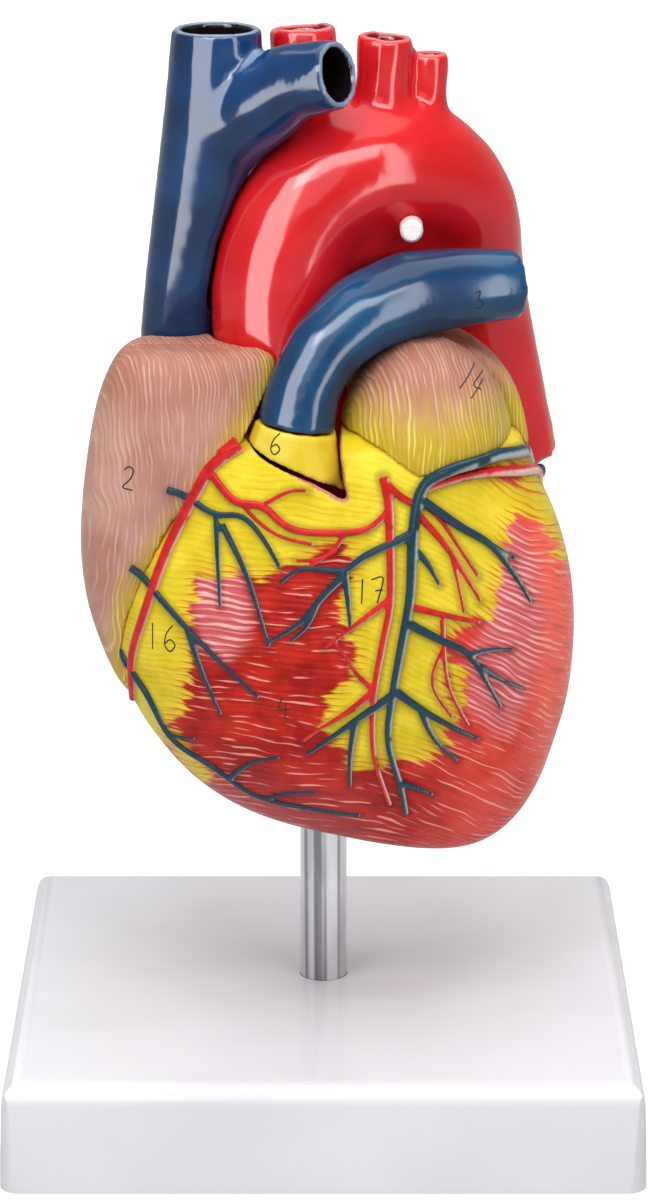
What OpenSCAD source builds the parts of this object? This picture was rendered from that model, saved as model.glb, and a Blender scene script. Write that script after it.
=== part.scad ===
// Two-part human heart on a steel rod and a square moulded base, at life size.
// The origin is on the table under the middle of the base, +Z is up, and the removable
// front cover faces -Y. The heart's front cover is held by magnets and pulls off towards -Y.

/* [Stand] */
// Width of the square base where it meets the table
base_width = 120; // [105:1:150]
// Height of the base
base_height = 21; // [17:1:30]
// Wall of the moulded base
base_wall = 2.5; // [1.5:0.5:4]
// Rounding of the base's outer edges
base_edge = 4; // [3:0.5:6]
// Slope of the base's sides, in degrees
base_draft = 2; // [0:0.5:4]
// Diameter of the steel rod
rod_diameter = 9; // [6:0.5:10]
// Height of the apex above the base
apex_gap = 26; // [18:1:60]
// Length of rod inside the heart
rod_grip = 30; // [20:1:34]
// Diameter of the screw under the base
screw_diameter = 5; // [3:0.5:5]

/* [Heart] */
// Width of the heart, from the right atrium to the left ventricle
heart_width = 93; // [86:1:110]
// Depth of the heart, front to back
heart_depth = 64; // [58:1:76]
// Height of the heart, from the apex to the top of the auricles
heart_height = 106; // [98:1:125]
// Height of the great vessels above the auricles
vessel_rise = 55; // [48:1:70]
// Wall of the right ventricle
right_wall = 3.5; // [2.5:0.25:5]
// Wall of the left ventricle and the septum
left_wall = 9; // [7.5:0.5:11]
// Wall of the two atria and their auricles
atrium_wall = 3; // [2:0.25:4]
// Gap between the front cover and the rear half
parting_gap = 0.3; // [0.1:0.05:0.6]

/* [Vessels] */
// Outer diameter of the ascending aorta
aorta_diameter = 26; // [22:0.5:28]
// Outer diameter of the pulmonary trunk
pulmonary_diameter = 17; // [14:0.5:18]
// Outer diameter of the superior vena cava
cava_diameter = 15; // [12:0.5:17]
// Outer diameter of the inferior vena cava
lower_cava_diameter = 16; // [12:0.5:18]
// Outer diameter of the first branch of the arch
first_branch_diameter = 13; // [9:0.5:14]
// Outer diameter of the second branch of the arch
second_branch_diameter = 11; // [7:0.5:11]
// Outer diameter of the third branch of the arch
third_branch_diameter = 7.5; // [5:0.5:8]
// Outer diameter of each pulmonary vein
lung_vein_diameter = 10; // [7:0.5:11]
// Wall of the great vessels
vessel_wall = 1.8; // [1.2:0.1:2.4]
// Diameter of the raised coronary arteries at their root
artery_diameter = 2.8; // [2:0.1:3.6]
// Diameter of the raised cardiac veins at their root
vein_diameter = 2.8; // [2:0.1:3.6]

/* [Fittings] */
// Diameter of the closing magnets
magnet_diameter = 5; // [3:0.5:6]
// Thickness of the closing magnets
magnet_thickness = 3; // [2:0.5:4]
// Wall of the socket tube that takes the rod
socket_wall = 1.5; // [1:0.25:2]
// Clearance round the rod
rod_clearance = 0.06; // [0.04:0.01:0.09]
// Clearance round each glued or seated piece
seat_clearance = 0.05; // [0.03:0.01:0.12]

/* [Hidden] */

far = 200;                 // reach of the blocks that trim the forms
around = 24;               // facets round the heart's forms
form_power = 2.2;          // 2 is an ellipse, more is squarer
drawn = [93, 64, 106];     // width, depth and height at which the tables of the heart are drawn
drawn_foot = 46;           // height of the apex in the tables
drawn_top = 152;           // height of the auricles in the tables
drawn_rise = 55;           // height of the vessels above that in the tables
end_trim = 1;              // cut off the ends of the vessels, to make them level
vessel_top = drawn_top + drawn_rise - end_trim;

apex_height = base_height + apex_gap;
scale_x = heart_width / drawn.x;
scale_y = heart_depth / drawn.y;
scale_z = heart_height / drawn.z;
rise_z = vessel_rise / drawn_rise;

rod_r = rod_diameter / 2;
socket_r = rod_r + rod_clearance + socket_wall;
rod_foot = 8.5;                                  // floor of the rod's socket in the base
rod_top = apex_height + 7 + rod_grip;

// Drawn coordinates to real ones: the heart and its vessels stretch with their driving sizes.
function real_z(z) = apex_height + (min(z, drawn_top) - drawn_foot) * scale_z
                     + max(0, z - drawn_top) * rise_z;
function real(p) = [p.x * scale_x, p.y * scale_y, real_z(p.z)];

part_y = -8 * scale_y;                           // parting plane between cover and rear half

// ---------------------------------------------------------------- curves

// Smooth value between four neighbouring rows of a table, at share t of the middle pair.
function blend4(a, b, c, d, t) =
    0.5 * (2 * b + (c - a) * t + (2 * a - 5 * b + 4 * c - d) * t * t
           + (3 * b - a - 3 * c + d) * t * t * t);
function row_at(rows, i, t) =
    blend4(rows[max(i - 1, 0)], rows[i], rows[i + 1], rows[min(i + 2, len(rows) - 1)], t);
// The table with extra rows put between its own, for rounder forms.
function finer(rows, steps) =
    [for (i = [0:len(rows) - 2], k = [0:steps - 1]) row_at(rows, i, k / steps), rows[len(rows) - 1]];

function power(v, e) = sign(v) * pow(abs(v), e);

// Triangles of a stack of rings of n points each, closed at both ends by a fan.
function ring_faces(rings, n) = concat(
    [for (i = [0:rings - 2], k = [0:n - 1]) let (a = i * n + k, b = i * n + (k + 1) % n)
        each [[a, a + n, b], [b, a + n, b + n]]],
    [for (k = [1:n - 2]) [0, k, k + 1]],
    [for (k = [1:n - 2]) let (o = (rings - 1) * n) [o, o + k + 1, o + k]]);

// ---------------------------------------------------------------- forms of the heart

// Each row of a form is [height, left, right, front, back], at its widest on the parting plane
// or on its own middle depth.
function mid_y(row) = min(max(-8, row[3] + 1), row[4] - 1);

function section(row, n) = [for (k = [0:n - 1]) let (
        a = 360 * k / n,
        c = power(cos(a), 2 / form_power),
        s = power(sin(a), 2 / form_power),
        mid_x = (row[1] + row[2]) / 2,
        x = mid_x + c * (row[2] - row[1]) / 2,
        y = mid_y(row) + s * (s > 0 ? row[4] - mid_y(row) : mid_y(row) - row[3]))
    real([x, y, row[0]])];

module form(rows, steps = 1, n = around) {
    fine = finer(rows, steps);
    points = [for (row = fine) each section(row, n)];
    polyhedron(points, ring_faces(len(fine), n), convexity = 6);
}

// The same form with a wall taken off all round, to hollow it.
function inner(rows, wall) = [for (i = [0:len(rows) - 1]) let (r = rows[i],
        rise = i == 0 ? wall : i == len(rows) - 1 ? -wall : 0)
    [r[0] + rise / scale_z, r[1] + wall / scale_x, r[2] - wall / scale_x,
     r[3] + wall / scale_y, r[4] - wall / scale_y]];
// Every second row, with both ends, for the plainer inner faces.
function fewer(rows) = [for (i = [0:len(rows) - 1]) if (i % 2 == 0 || i == len(rows) - 1) rows[i]];
function grown(rows, wall) = [for (i = [0:len(rows) - 1]) let (r = rows[i],
        rise = i == 0 ? -wall : i == len(rows) - 1 ? wall : 0)
    [r[0] + rise / scale_z, r[1] - wall / scale_x, r[2] + wall / scale_x,
     r[3] - wall / scale_y, r[4] + wall / scale_y]];

ventricle_rows = [
    [50.5, 17, 27, -13, -6], [51.6, 11, 31, -17, -1], [54, 0, 34.8, -21, 5], [58, -14.5, 38.4, -24.5, 11],
    [64, -24.4, 41.6, -27.5, 18], [72, -31.6, 44.3, -30, 24], [80, -36.4, 46.4, -31.5, 27.5],
    [89, -38.8, 47.4, -32, 29.5], [98, -38.6, 47.4, -32, 30.5], [107, -36.5, 46.2, -31.3, 30],
    [115, -33.5, 43.8, -30.3, 28], [122, -30.5, 40.6, -28.8, 25], [128, -27, 38, -27.4, 21],
    [131.5, -22, 36, -25, 16], [133.5, -14, 29, -20, 9]];

right_atrium_rows = [
    [81, -37.6, -30, -12, 0], [84, -39.6, -26, -14, 6], [90, -42.2, -20, -16, 12],
    [99, -44.8, -13, -18, 18], [109, -45.8, -9, -19.5, 21], [119, -45.3, -7, -20.8, 22],
    [129, -44, -6, -21.5, 22], [137, -42.4, -7, -21.3, 19], [143, -40.2, -7.6, -20.3, 15],
    [146.5, -37.8, -8.6, -18, 10], [148, -34.5, -11, -14.5, 4]];

left_atrium_rows = [
    [112, 0, 30, 0, 26], [116, -8, 36, -6, 29], [124, -10, 38.6, -7, 30], [132, -10, 38.2, -7, 30],
    [140, -8, 35.5, -7, 29], [145.5, -3, 30, -6, 25], [147.5, 4, 22, -2, 19]];

left_auricle_rows = [
    [119.5, 8, 15, -20, 0], [122, 5, 21, -24, 0], [126, 3.4, 29.5, -26.6, 0], [131, 3, 34.9, -27.2, 0],
    [137, 3.7, 34, -26, 0], [142.5, 6.2, 31.4, -23.2, 0], [147, 10.5, 27, -19, 0], [149.5, 15, 22.5, -14, 0]];

left_chamber_rows = [
    [60, 21, 31, -13, -2], [66, 15.5, 34.5, -16.5, 5], [76, 12.5, 37.2, -20, 11],
    [90, 11, 38.3, -21.5, 15.5], [104, 11.5, 37.6, -21, 17], [114, 15, 34, -17, 15], [119, 20, 29, -11, 8]];

// The plane of the tricuspid valve leans from the apex side up to the right.
valve_plane_top = [-16, 131];
valve_plane_foot = [-31, 86];
valve_lean = atan2(valve_plane_top.x - valve_plane_foot.x, valve_plane_top.y - valve_plane_foot.y);

// Flat outline in X and Z, drawn in the table's units, cut through from y0 to y1.
module through(outline, y0 = -far, y1 = far, inset = 0) {
    points = [for (p = outline) let (q = real([p.x, 0, p.y])) [q.x, q.z]];
    translate([0, y1, 0]) rotate([90, 0, 0]) linear_extrude(y1 - y0)
        if (inset > 0) offset(delta = -inset) polygon(points);
        else polygon(points);
}

module front_half() translate([-far, part_y - far, -far]) cube([2 * far, far, 4 * far]);
module rear_half() translate([-far, part_y + parting_gap, -far]) cube([2 * far, far, 4 * far]);

// Joins what is inside it into one closed skin, as a moulding is.
module moulded() resize([0, 0, 0]) children();

// ---------------------------------------------------------------- tubes

function unit(v) = v / norm(v);
// Rings of a round tube along rows of [x, y, z, radius], square to the way it runs.
function tube_rings(rows, n, up) = [for (i = [0:len(rows) - 1]) let (
        here = rows[i],
        t = unit(xyz(rows[min(i + 1, len(rows) - 1)]) - xyz(rows[max(i - 1, 0)])),
        side = unit(cross(t, up)),
        over = cross(t, side))
    each [for (k = [0:n - 1]) xyz(here) + here[3] * (cos(360 * k / n) * side + sin(360 * k / n) * over)]];
function xyz(row) = [row[0], row[1], row[2]];

module tube(rows, n = 14, steps = 2, up = [0, 1, 0]) {
    fine = finer(rows, steps);
    polyhedron(tube_rings(fine, n, up), ring_faces(len(fine), n), convexity = 8);
}

// A vessel's route in the table's units, with each radius as a share of the vessel's own radius.
function route(rows, diameter, change = 0) =
    [for (r = rows) let (p = real([r[0], r[1], r[2]])) [p.x, p.y, p.z, r[3] * diameter / 2 + change]];
// The route with both its end rows moved out, so that a bore opens through them.
function run_on(rows, by) = let (n = len(rows),
        a = xyz(rows[0]) - by * unit(xyz(rows[1]) - xyz(rows[0])),
        b = xyz(rows[n - 1]) + by * unit(xyz(rows[n - 1]) - xyz(rows[n - 2])))
    [for (i = [0:n - 1]) i == 0 ? [a.x, a.y, a.z, rows[0][3]]
        : i == n - 1 ? [b.x, b.y, b.z, rows[n - 1][3]] : rows[i]];

aorta_route = [[6, 0, 116, 0.8], [1, 1, 124, 0.92], [-4, 2, 135, 0.98], [-8.5, 2, 149, 1],
    [-7.5, 2, 163, 1], [-2, 3, 173.5, 1], [8, 6, 179.2, 1.02], [18.5, 11, 177, 1],
    [25.6, 17, 168, 0.92], [27.8, 22, 157, 0.84], [30.4, 26, 145, 0.78], [33.6, 28.5, 131, 0.75],
    [36.6, 30, 116, 0.73]];
// The web that fills the inside of the arch.
arch_web = [[-3, 3.5, 157, 0.45], [2.5, 4.5, 164.5, 0.6], [9.5, 7, 168, 0.64], [17, 10.5, 166.5, 0.6],
    [22, 15.5, 158, 0.45]];
first_branch_route = [[-1, 5, 182, 1], [-3, 6, 194, 1], [-4, 7, vessel_top - 0.4, 1]];
second_branch_route = [[10, 7, 182, 1], [11, 6, 194, 1], [11.6, 6, vessel_top - 2, 1]];
third_branch_route = [[19, 10, 180, 1], [20, 9, 191, 1], [20, 9, vessel_top - 5.5, 1]];

cava_route = [[-28.2, 6.6, 143.4, 0.95], [-26, 5, 158, 1.05], [-22.9, 4, 174, 1.2], [-20.6, 2, 190, 1.25],
    [-19.6, 1, vessel_top + 1.5, 1.12]];
arm_vein_route = [[-21, 2.5, 179, 0.85], [-17.5, 1, 186.5, 1.12], [-11.5, -2.5, 193, 1.2], [-5, -7, 197.5, 1.02],
    [3, -12, 199.6, 0.88]];

pulmonary_route = [[-5, -14.5, 112, 1.35], [-5, -15.3, 121, 1.3], [-5.2, -16.4, 128, 1.2], [-5.4, -17.4, 132, 1.02],
    [-4.9, -17.8, 136, 0.86], [-3.6, -17, 142, 0.82], [0.2, -15, 149, 0.86], [6.8, -11.8, 154.5, 0.94],
    [15.5, -7.5, 157.3, 1], [25, -3.5, 157.8, 0.92], [36.6, 0, 157.8, 0.78]];
root_line = [-4.9, -17.8, 134.8];    // where the conus ends and the trunk begins
root_lean = 9;                       // lean of that line, in degrees
right_branch_route = [[14, -2, 153.5, 0.8], [12, 9, 153.5, 0.76], [4, 18, 154, 0.76], [-8, 22.5, 154.5, 0.76],
    [-26, 22.5, 154.5, 0.76]];
lower_cava_route = [[-26, 12, 104, 0.85], [-26, 16.5, 96, 0.95], [-25.5, 21.5, 86, 1], [-25, 24, 74, 1]];
lung_vein_routes = [
    [[9, 24, 143.1, 0.88], [11, 30, 143.4, 1], [13, 38, 144.2, 1]],
    [[9, 25, 131, 0.9], [11, 30, 130.6, 1], [13, 38, 130, 1]],
    [[-2, 18, 143.2, 0.86], [-8, 26, 143.4, 1], [-15, 33, 144, 1]],
    [[-2, 18, 134, 0.8], [-8, 26, 132.8, 0.94], [-15, 33, 131.4, 1]]];

module aorta_outside(gap = 0) {
    tube(route(aorta_route, aorta_diameter, gap), 12);
    tube(route(arch_web, aorta_diameter, gap), 8, 1);
    tube(route(first_branch_route, first_branch_diameter, gap), 10, 1);
    tube(route(second_branch_route, second_branch_diameter, gap), 9, 1);
    tube(route(third_branch_route, third_branch_diameter, gap), 8, 1);
}
bore_sides = 9;
module aorta_bore() {
    tube(run_on(route(aorta_route, aorta_diameter, -vessel_wall), 4), bore_sides, 1);
    tube(run_on(route(first_branch_route, first_branch_diameter, -vessel_wall), 2), 10, 1);
    tube(run_on(route(second_branch_route, second_branch_diameter, -vessel_wall), 2), 9, 1);
    tube(run_on(route(third_branch_route, third_branch_diameter, -vessel_wall), 2), 8, 1);
}
module cava_outside(gap = 0) {
    tube(route(cava_route, cava_diameter, gap), 12, 1);
    tube(route(arm_vein_route, cava_diameter, gap), 10, 1);
}
module cava_bore() {
    tube(run_on(route(cava_route, cava_diameter, -vessel_wall), 3), 10, 1);
    tube(run_on(route(arm_vein_route, cava_diameter, -vessel_wall), 3), 10, 1);
}
conus_rows = 5;
module conus_outside(gap = 0) tube(route([for (i = [0:conus_rows]) pulmonary_route[i]], pulmonary_diameter, gap), 12, 1);
module conus_bore() tube(run_on(route([for (i = [0:conus_rows]) pulmonary_route[i]], pulmonary_diameter, -vessel_wall), 3), 12, 1);
module trunk_outside(gap = 0) {
    tube(route(pulmonary_route, pulmonary_diameter, gap), 12, 1);
    tube(route(right_branch_route, pulmonary_diameter, gap), 10, 1, up = [0, 0, 1]);
}
module trunk_bore() {
    tube(run_on(route(pulmonary_route, pulmonary_diameter, -vessel_wall), 3), 12, 1);
    tube(run_on(route(right_branch_route, pulmonary_diameter, -vessel_wall), 3), 10, 1, up = [0, 0, 1]);
}
// Everything above (side 1) or below (side -1) the line between the conus and the trunk.
module root_side(side, gap = 0) translate(real(root_line)) rotate([0, root_lean, 0])
    translate([-far, -far, side > 0 ? gap : -far - gap]) cube([2 * far, 2 * far, far]);
module lower_cava_outside(gap = 0) tube(route(lower_cava_route, lower_cava_diameter, gap), 12, 1);
module lower_cava_bore() tube(run_on(route(lower_cava_route, lower_cava_diameter, -vessel_wall), 3), 10, 1);
module lung_veins_outside(gap = 0)
    for (r = lung_vein_routes) tube(route(r, lung_vein_diameter, gap), 8, 1, up = [0, 0, 1]);
module lung_veins_bore()
    for (r = lung_vein_routes) tube(run_on(route(r, lung_vein_diameter, -vessel_wall), 3), 8, 1, up = [0, 0, 1]);

// ---------------------------------------------------------------- chambers

// Everything on the atrium's side of the tricuspid plane, moved by a gap.
module atrium_side(shift) {
    s = shift / scale_x;
    through([[valve_plane_foot.x + s - 20, valve_plane_foot.y - 60], [valve_plane_top.x + s + 20, valve_plane_top.y + 60],
             [-far, far], [-far, 0]]);
}

valve_sides = 18;
tricuspid_y = 1.5;
tricuspid_r = 8;
tricuspid_z = 107;
tricuspid_x = valve_plane_foot.x + (tricuspid_z - valve_plane_foot.y) * tan(valve_lean);
mitral_centre = [24, 2.5, 120];
mitral_r = 8.5;

module tricuspid_place() translate(real([tricuspid_x, 0, tricuspid_z]) + [0, tricuspid_y, 0])
    rotate([0, 90 + valve_lean, 0]) children();
module mitral_place() translate(real(mitral_centre)) rotate([180, 0, 0]) children();

module right_atrium_chamber() {
    intersection() {
        form(fewer(inner(right_atrium_rows, atrium_wall)), 1, 14);
        atrium_side(-1.5);
    }
}
module rod_column(r, z0, z1) translate([0, 0, z0]) cylinder(r = r, h = z1 - z0, $fn = 12);
module right_chamber() {
    difference() {
        intersection() {
            form(fewer(inner(ventricle_rows, right_wall)), 1, 14);
            through([[8, 0], [8, far], [-far, far], [-far, 0]]);
        }
        atrium_side(1.5);
        form(grown(left_chamber_rows, left_wall), 1, 12);
        rod_column(socket_r + 2.5, 0, rod_top + 3);
    }
}
module left_chamber() form(left_chamber_rows, 1, 14);
module left_atrium_chamber() intersection() {
    form(fewer(inner(left_atrium_rows, atrium_wall)), 1, 16);
    through([[-far, 121.5], [far, 121.5], [far, far], [-far, far]]);
}
module orifices() {
    tricuspid_place() cylinder(r = tricuspid_r, h = 12, center = true, $fn = valve_sides);
    mitral_place() cylinder(r = mitral_r, h = 14, center = true, $fn = valve_sides);
}
module chambers() {
    right_atrium_chamber();
    right_chamber();
    left_chamber();
    left_atrium_chamber();
    orifices();
    conus_bore();
    tube(run_on(route([for (i = [0:3]) aorta_route[i]], aorta_diameter, -vessel_wall), 8), 10, 1);
    lower_cava_bore();
}

// The gap in the cover that the pulmonary root shows through.
notch = [[-8.6, 175], [-8.6, 147], [-11.6, 140], [-15.3, 132], [-10.5, 129.8], [-4.8, 127.4],
         [1.5, 124.2], [5.5, 121.5], [3.6, 125.5], [2.6, 134], [3.5, 140], [6, 146], [10, 150], [15, 152], [15, 175]];

// ---------------------------------------------------------------- magnets

magnet_spots = [[42.2, 90], [22.5, 55.2], [-39.2, 122], [6.5, 96]];
boss_r = magnet_diameter / 2 + 1.5;
module at_magnets() for (m = magnet_spots) {
    q = real([m.x, 0, m.y]);
    translate([q.x, part_y, q.z]) rotate([90, 0, 0]) children();
}
module magnet_bosses(side) at_magnets()
    translate([0, 0, side > 0 ? 0 : -magnet_thickness - 3]) cylinder(r = boss_r, h = magnet_thickness + 3, $fn = 10);
module magnet_pockets(side) at_magnets()
    translate([0, 0, side > 0 ? -1 : -magnet_thickness - parting_gap - seat_clearance])
    cylinder(r = magnet_diameter / 2 + seat_clearance, h = magnet_thickness + 1 + seat_clearance, $fn = 48);
module magnets(side) at_magnets()
    translate([0, 0, side > 0 ? 0 : -magnet_thickness - parting_gap]) cylinder(r = magnet_diameter / 2, h = magnet_thickness, $fn = 48);

// ---------------------------------------------------------------- stand

rod_seat = 3;                        // floor under the rod in the base
washer_thickness = 1.2;
screw_r = screw_diameter / 2;
head_height = 2.8;
boss_foot = rod_foot - rod_seat;
turn_gap = 0.05;                     // running gap under the turning rod

// Side view of the base, rounded above and drafted, inset by t.
function base_profile(t, foot) = let (
        r = max(base_edge - t, 0.6), h = base_height - t, w = base_width / 2 - t,
        slope = tan(base_draft), cx = w - (h - r) * slope - r / cos(base_draft), steps = 6)
    concat([[-(w - foot * slope), foot], [w - foot * slope, foot]],
        [for (k = [0:steps]) let (a = -base_draft + k * (90 + base_draft) / steps) [cx + r * cos(a), h - r + r * sin(a)]],
        [for (k = [steps:-1:0]) let (a = -base_draft + k * (90 + base_draft) / steps) [-cx - r * cos(a), h - r + r * sin(a)]]);
function base_plan(t) = let (r = max(base_edge - t, 0.6), c = base_width / 2 - t - r, steps = 5)
    [for (q = [0:3], k = [0:steps]) let (a = 90 * q + 90 * k / steps)
        [c * (q == 0 || q == 3 ? 1 : -1) + r * cos(a), c * (q < 2 ? 1 : -1) + r * sin(a)]];

module base_block(t, foot) intersection() {
    translate([0, 0, foot]) linear_extrude(base_height) polygon(base_plan(t));
    rotate([90, 0, 0]) linear_extrude(base_width, center = true) polygon(base_profile(t, foot));
    rotate([90, 0, 90]) linear_extrude(base_width, center = true) polygon(base_profile(t, foot));
}

rib_thickness = 2;
rib_height = 9;
boss_wall = 3.5;

module base_plate() {
    rib_reach = base_width / 2 - base_wall - 0.3;
    color("white") difference() {
        union() {
            difference() {
                base_block(0, 0);
                base_block(base_wall, -1);
            }
            translate([0, 0, boss_foot]) cylinder(r = rod_r + boss_wall, h = base_height - boss_foot - 1);
            for (a = [45, 135, 225, 315]) rotate(a) translate([rod_r + 1, -rib_thickness / 2, base_height - base_wall - rib_height])
                cube([(rib_reach - 3) * sqrt(2) - rod_r, rib_thickness, rib_height + 1]);
        }
        translate([0, 0, rod_foot]) cylinder(r = rod_r + rod_clearance, h = base_height);
        translate([0, 0, -1]) cylinder(r = screw_r + 0.4, h = base_height);
    }
}

rod_chamfer = 0.8;
thread_depth = 14;
module support_rod() color("silver") difference() {
    union() {
        translate([0, 0, rod_foot + turn_gap]) cylinder(r = rod_r, h = rod_top - rod_foot - turn_gap - rod_chamfer);
        translate([0, 0, rod_top - rod_chamfer]) cylinder(r1 = rod_r, r2 = rod_r - rod_chamfer, h = rod_chamfer);
    }
    cylinder(r = screw_r + seat_clearance, h = rod_foot + thread_depth);
}

module rod_washer() color("gainsboro") translate([0, 0, boss_foot - turn_gap - washer_thickness]) difference() {
    cylinder(r = rod_r + boss_wall - 1.2, h = washer_thickness);
    translate([0, 0, -1]) cylinder(r = screw_r + 0.3, h = washer_thickness + 2);
}

module rod_screw() {
    under = boss_foot - turn_gap - washer_thickness;
    color("gray") difference() {
        union() {
            translate([0, 0, under]) cylinder(r = screw_r, h = rod_foot + thread_depth - 1 - under);
            translate([0, 0, under - head_height]) cylinder(r = screw_r * 1.8, h = head_height);
        }
        for (a = [0, 90]) rotate(a) translate([-screw_r, -0.5, under - head_height - 1])
            cube([2 * screw_r, 1, 1 + head_height * 0.6]);
    }
}

// ---------------------------------------------------------------- rear half

socket_foot = apex_height + 12;
module rod_socket() color("dimgray") difference() {
    translate([0, 0, socket_foot]) cylinder(r = socket_r, h = rod_top + 2 - socket_foot);
    cylinder(r = rod_r + rod_clearance, h = rod_top);
}
module socket_hole() {
    translate([0, 0, socket_foot]) cylinder(r = socket_r + seat_clearance, h = rod_top + 2 + seat_clearance - socket_foot);
    cylinder(r = rod_r + rod_clearance, h = rod_top);
}

module rear_ventricles() color("indianred") difference() {
    moulded() difference() {
        intersection() {
            form(ventricle_rows);
            rear_half();
        }
        difference() {
            chambers();
            intersection() { magnet_bosses(-1); form(ventricle_rows); }
        }
        aorta_outside(seat_clearance);
        conus_outside(seat_clearance);
        lower_cava_outside(seat_clearance);
    }
    socket_hole();
    magnet_pockets(-1);
}

// The corner before the ascending aorta, which the two halves leave open.
aorta_corner = [[-17, 127], [-17, 152], [0, 152], [0, 127]];
module rear_right_atrium() color("burlywood") difference() {
    moulded() difference() {
        intersection() {
            form(right_atrium_rows);
            rear_half();
        }
        form(ventricle_rows);
        through(aorta_corner, part_y - 1, part_y + 9);
        difference() {
            chambers();
            intersection() { magnet_bosses(-1); form(right_atrium_rows); }
        }
        aorta_outside(seat_clearance);
        cava_outside(seat_clearance);
        lower_cava_outside(seat_clearance);
    }
    magnet_pockets(-1);
}

module left_atrium() color("burlywood") moulded() difference() {
    intersection() {
        form(left_atrium_rows);
        rear_half();
    }
    form(ventricle_rows);
    form(right_atrium_rows);
    left_atrium_chamber();
    aorta_outside(seat_clearance);
    lung_veins_outside(seat_clearance);
    trunk_outside(seat_clearance);
}

module rear_magnets() color("lightgray") magnets(-1);

// ---------------------------------------------------------------- vessels

module aorta() color("crimson") moulded() difference() {
    aorta_outside();
    aorta_bore();
    translate([-far, -far, real_z(vessel_top)]) cube(2 * far);
}

module superior_vena_cava() color("midnightblue") moulded() difference() {
    cava_outside();
    cava_bore();
    aorta_outside(seat_clearance);
    translate([-far, -far, real_z(vessel_top)]) cube(2 * far);
}

module inferior_vena_cava() color("midnightblue") moulded() difference() {
    lower_cava_outside();
    lower_cava_bore();
    right_atrium_chamber();
}

notch_gap = 0.35;                    // kept between the conus and the cover round it
module pulmonary_conus() color("gold") moulded() difference() {
    intersection() {
        conus_outside();
        through(notch, -far, part_y + 6, notch_gap);
        root_side(-1);
    }
    conus_bore();
    aorta_outside(seat_clearance);
}

module pulmonary_trunk() color("steelblue") moulded() difference() {
    trunk_outside();
    trunk_bore();
    aorta_outside(seat_clearance);
    root_side(-1, -seat_clearance);
}

module pulmonary_veins() color("crimson") moulded() difference() {
    lung_veins_outside();
    lung_veins_bore();
    left_atrium_chamber();
}

// A short peg between the pulmonary trunk and the arch.
module arterial_ligament() color("white") moulded() difference() {
    tube([for (p = [[16.4, -6, 168.9, 1.7], [16.4, -5.2, 168.9, 2.2], [16.4, 3, 169.2, 2.2]])
            let (q = real([p[0], p[1], p[2]])) [q.x, q.y, q.z, p[3]]], 12, 1, up = [0, 0, 1]);
    aorta_outside(seat_clearance);
    trunk_outside(seat_clearance);
}

// ---------------------------------------------------------------- valves

leaf = 0.9;                          // thickness of the leaflets
// A leaflet valve: a funnel whose free edge hangs in lobes from the ring.
module leaflets(r, lobes, length, n = valve_sides) {
    function drop(k) = length * (0.45 + 0.55 * abs(sin(lobes * 180 * k / n)));
    function ring(depth, t) = [for (k = [0:n - 1]) let (d = depth * drop(k), a = 360 * k / n,
            rr = r * (1 - 0.45 * depth * depth) - t)
        [rr * cos(a), rr * sin(a), d]];
    points = concat(ring(0, 0), ring(0.5, 0), ring(1, 0), ring(1, leaf), ring(0.5, leaf), ring(0, leaf));
    polyhedron(points, [for (i = [0:5], k = [0:n - 1]) let (a = i * n + k, b = i * n + (k + 1) % n, m = 6 * n)
        each [[a, (a + n) % m, (b + n) % m], [a, (b + n) % m, b]]]);
}
module chord(a, b) {
    d = b - a;
    translate(a) rotate([0, acos(d.z / norm(d)), atan2(d.y, d.x)]) cylinder(r = 0.45, h = norm(d), $fn = 4);
}

tricuspid_length = 13;
mitral_length = 15;
module tricuspid_valve() color("mistyrose") moulded() difference() {
    tricuspid_place() translate([0, 0, -1]) leaflets(tricuspid_r - seat_clearance, 3, tricuspid_length);
    translate([-far, part_y + parting_gap - far, 0]) cube([2 * far, far, far]);
}
module mitral_valve() color("mistyrose") moulded() difference() {
    mitral_place() translate([0, 0, -1]) leaflets(mitral_r - seat_clearance, 2, mitral_length);
    translate([-far, part_y + parting_gap - far, 0]) cube([2 * far, far, far]);
}

// Three cup-shaped cusps inside a round bore.
module cusps(bore_r) {
    cup = bore_r * 0.54;
    intersection() {
        cylinder(r = bore_r - seat_clearance, h = 3 * bore_r, center = true, $fn = 12);
        for (a = [90, 210, 330]) rotate(a) translate([bore_r - cup, 0, 0]) difference() {
            sphere(r = cup, $fn = 7);
            sphere(r = cup - leaf, $fn = 7);
            translate([-far, -far, 0.2 * cup]) cube(2 * far);
        }
    }
}
module aortic_valve() {
    p = real([1, 1, 124]);
    valve_r = (aorta_diameter * 0.46 - vessel_wall) * cos(180 / bore_sides);
    color("mistyrose") moulded() translate(p) rotate([0, -30, 0]) cusps(valve_r);
}
module pulmonary_valve() {
    p = real([-4.2, -17.4, 139]);
    r = (pulmonary_diameter * 0.42 - vessel_wall) * cos(180 / 12) - seat_clearance;
    color("mistyrose") moulded() translate(p) rotate([-8, 8, 0]) leaflets(r, 3, r * 1.4, 12);
}

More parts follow.
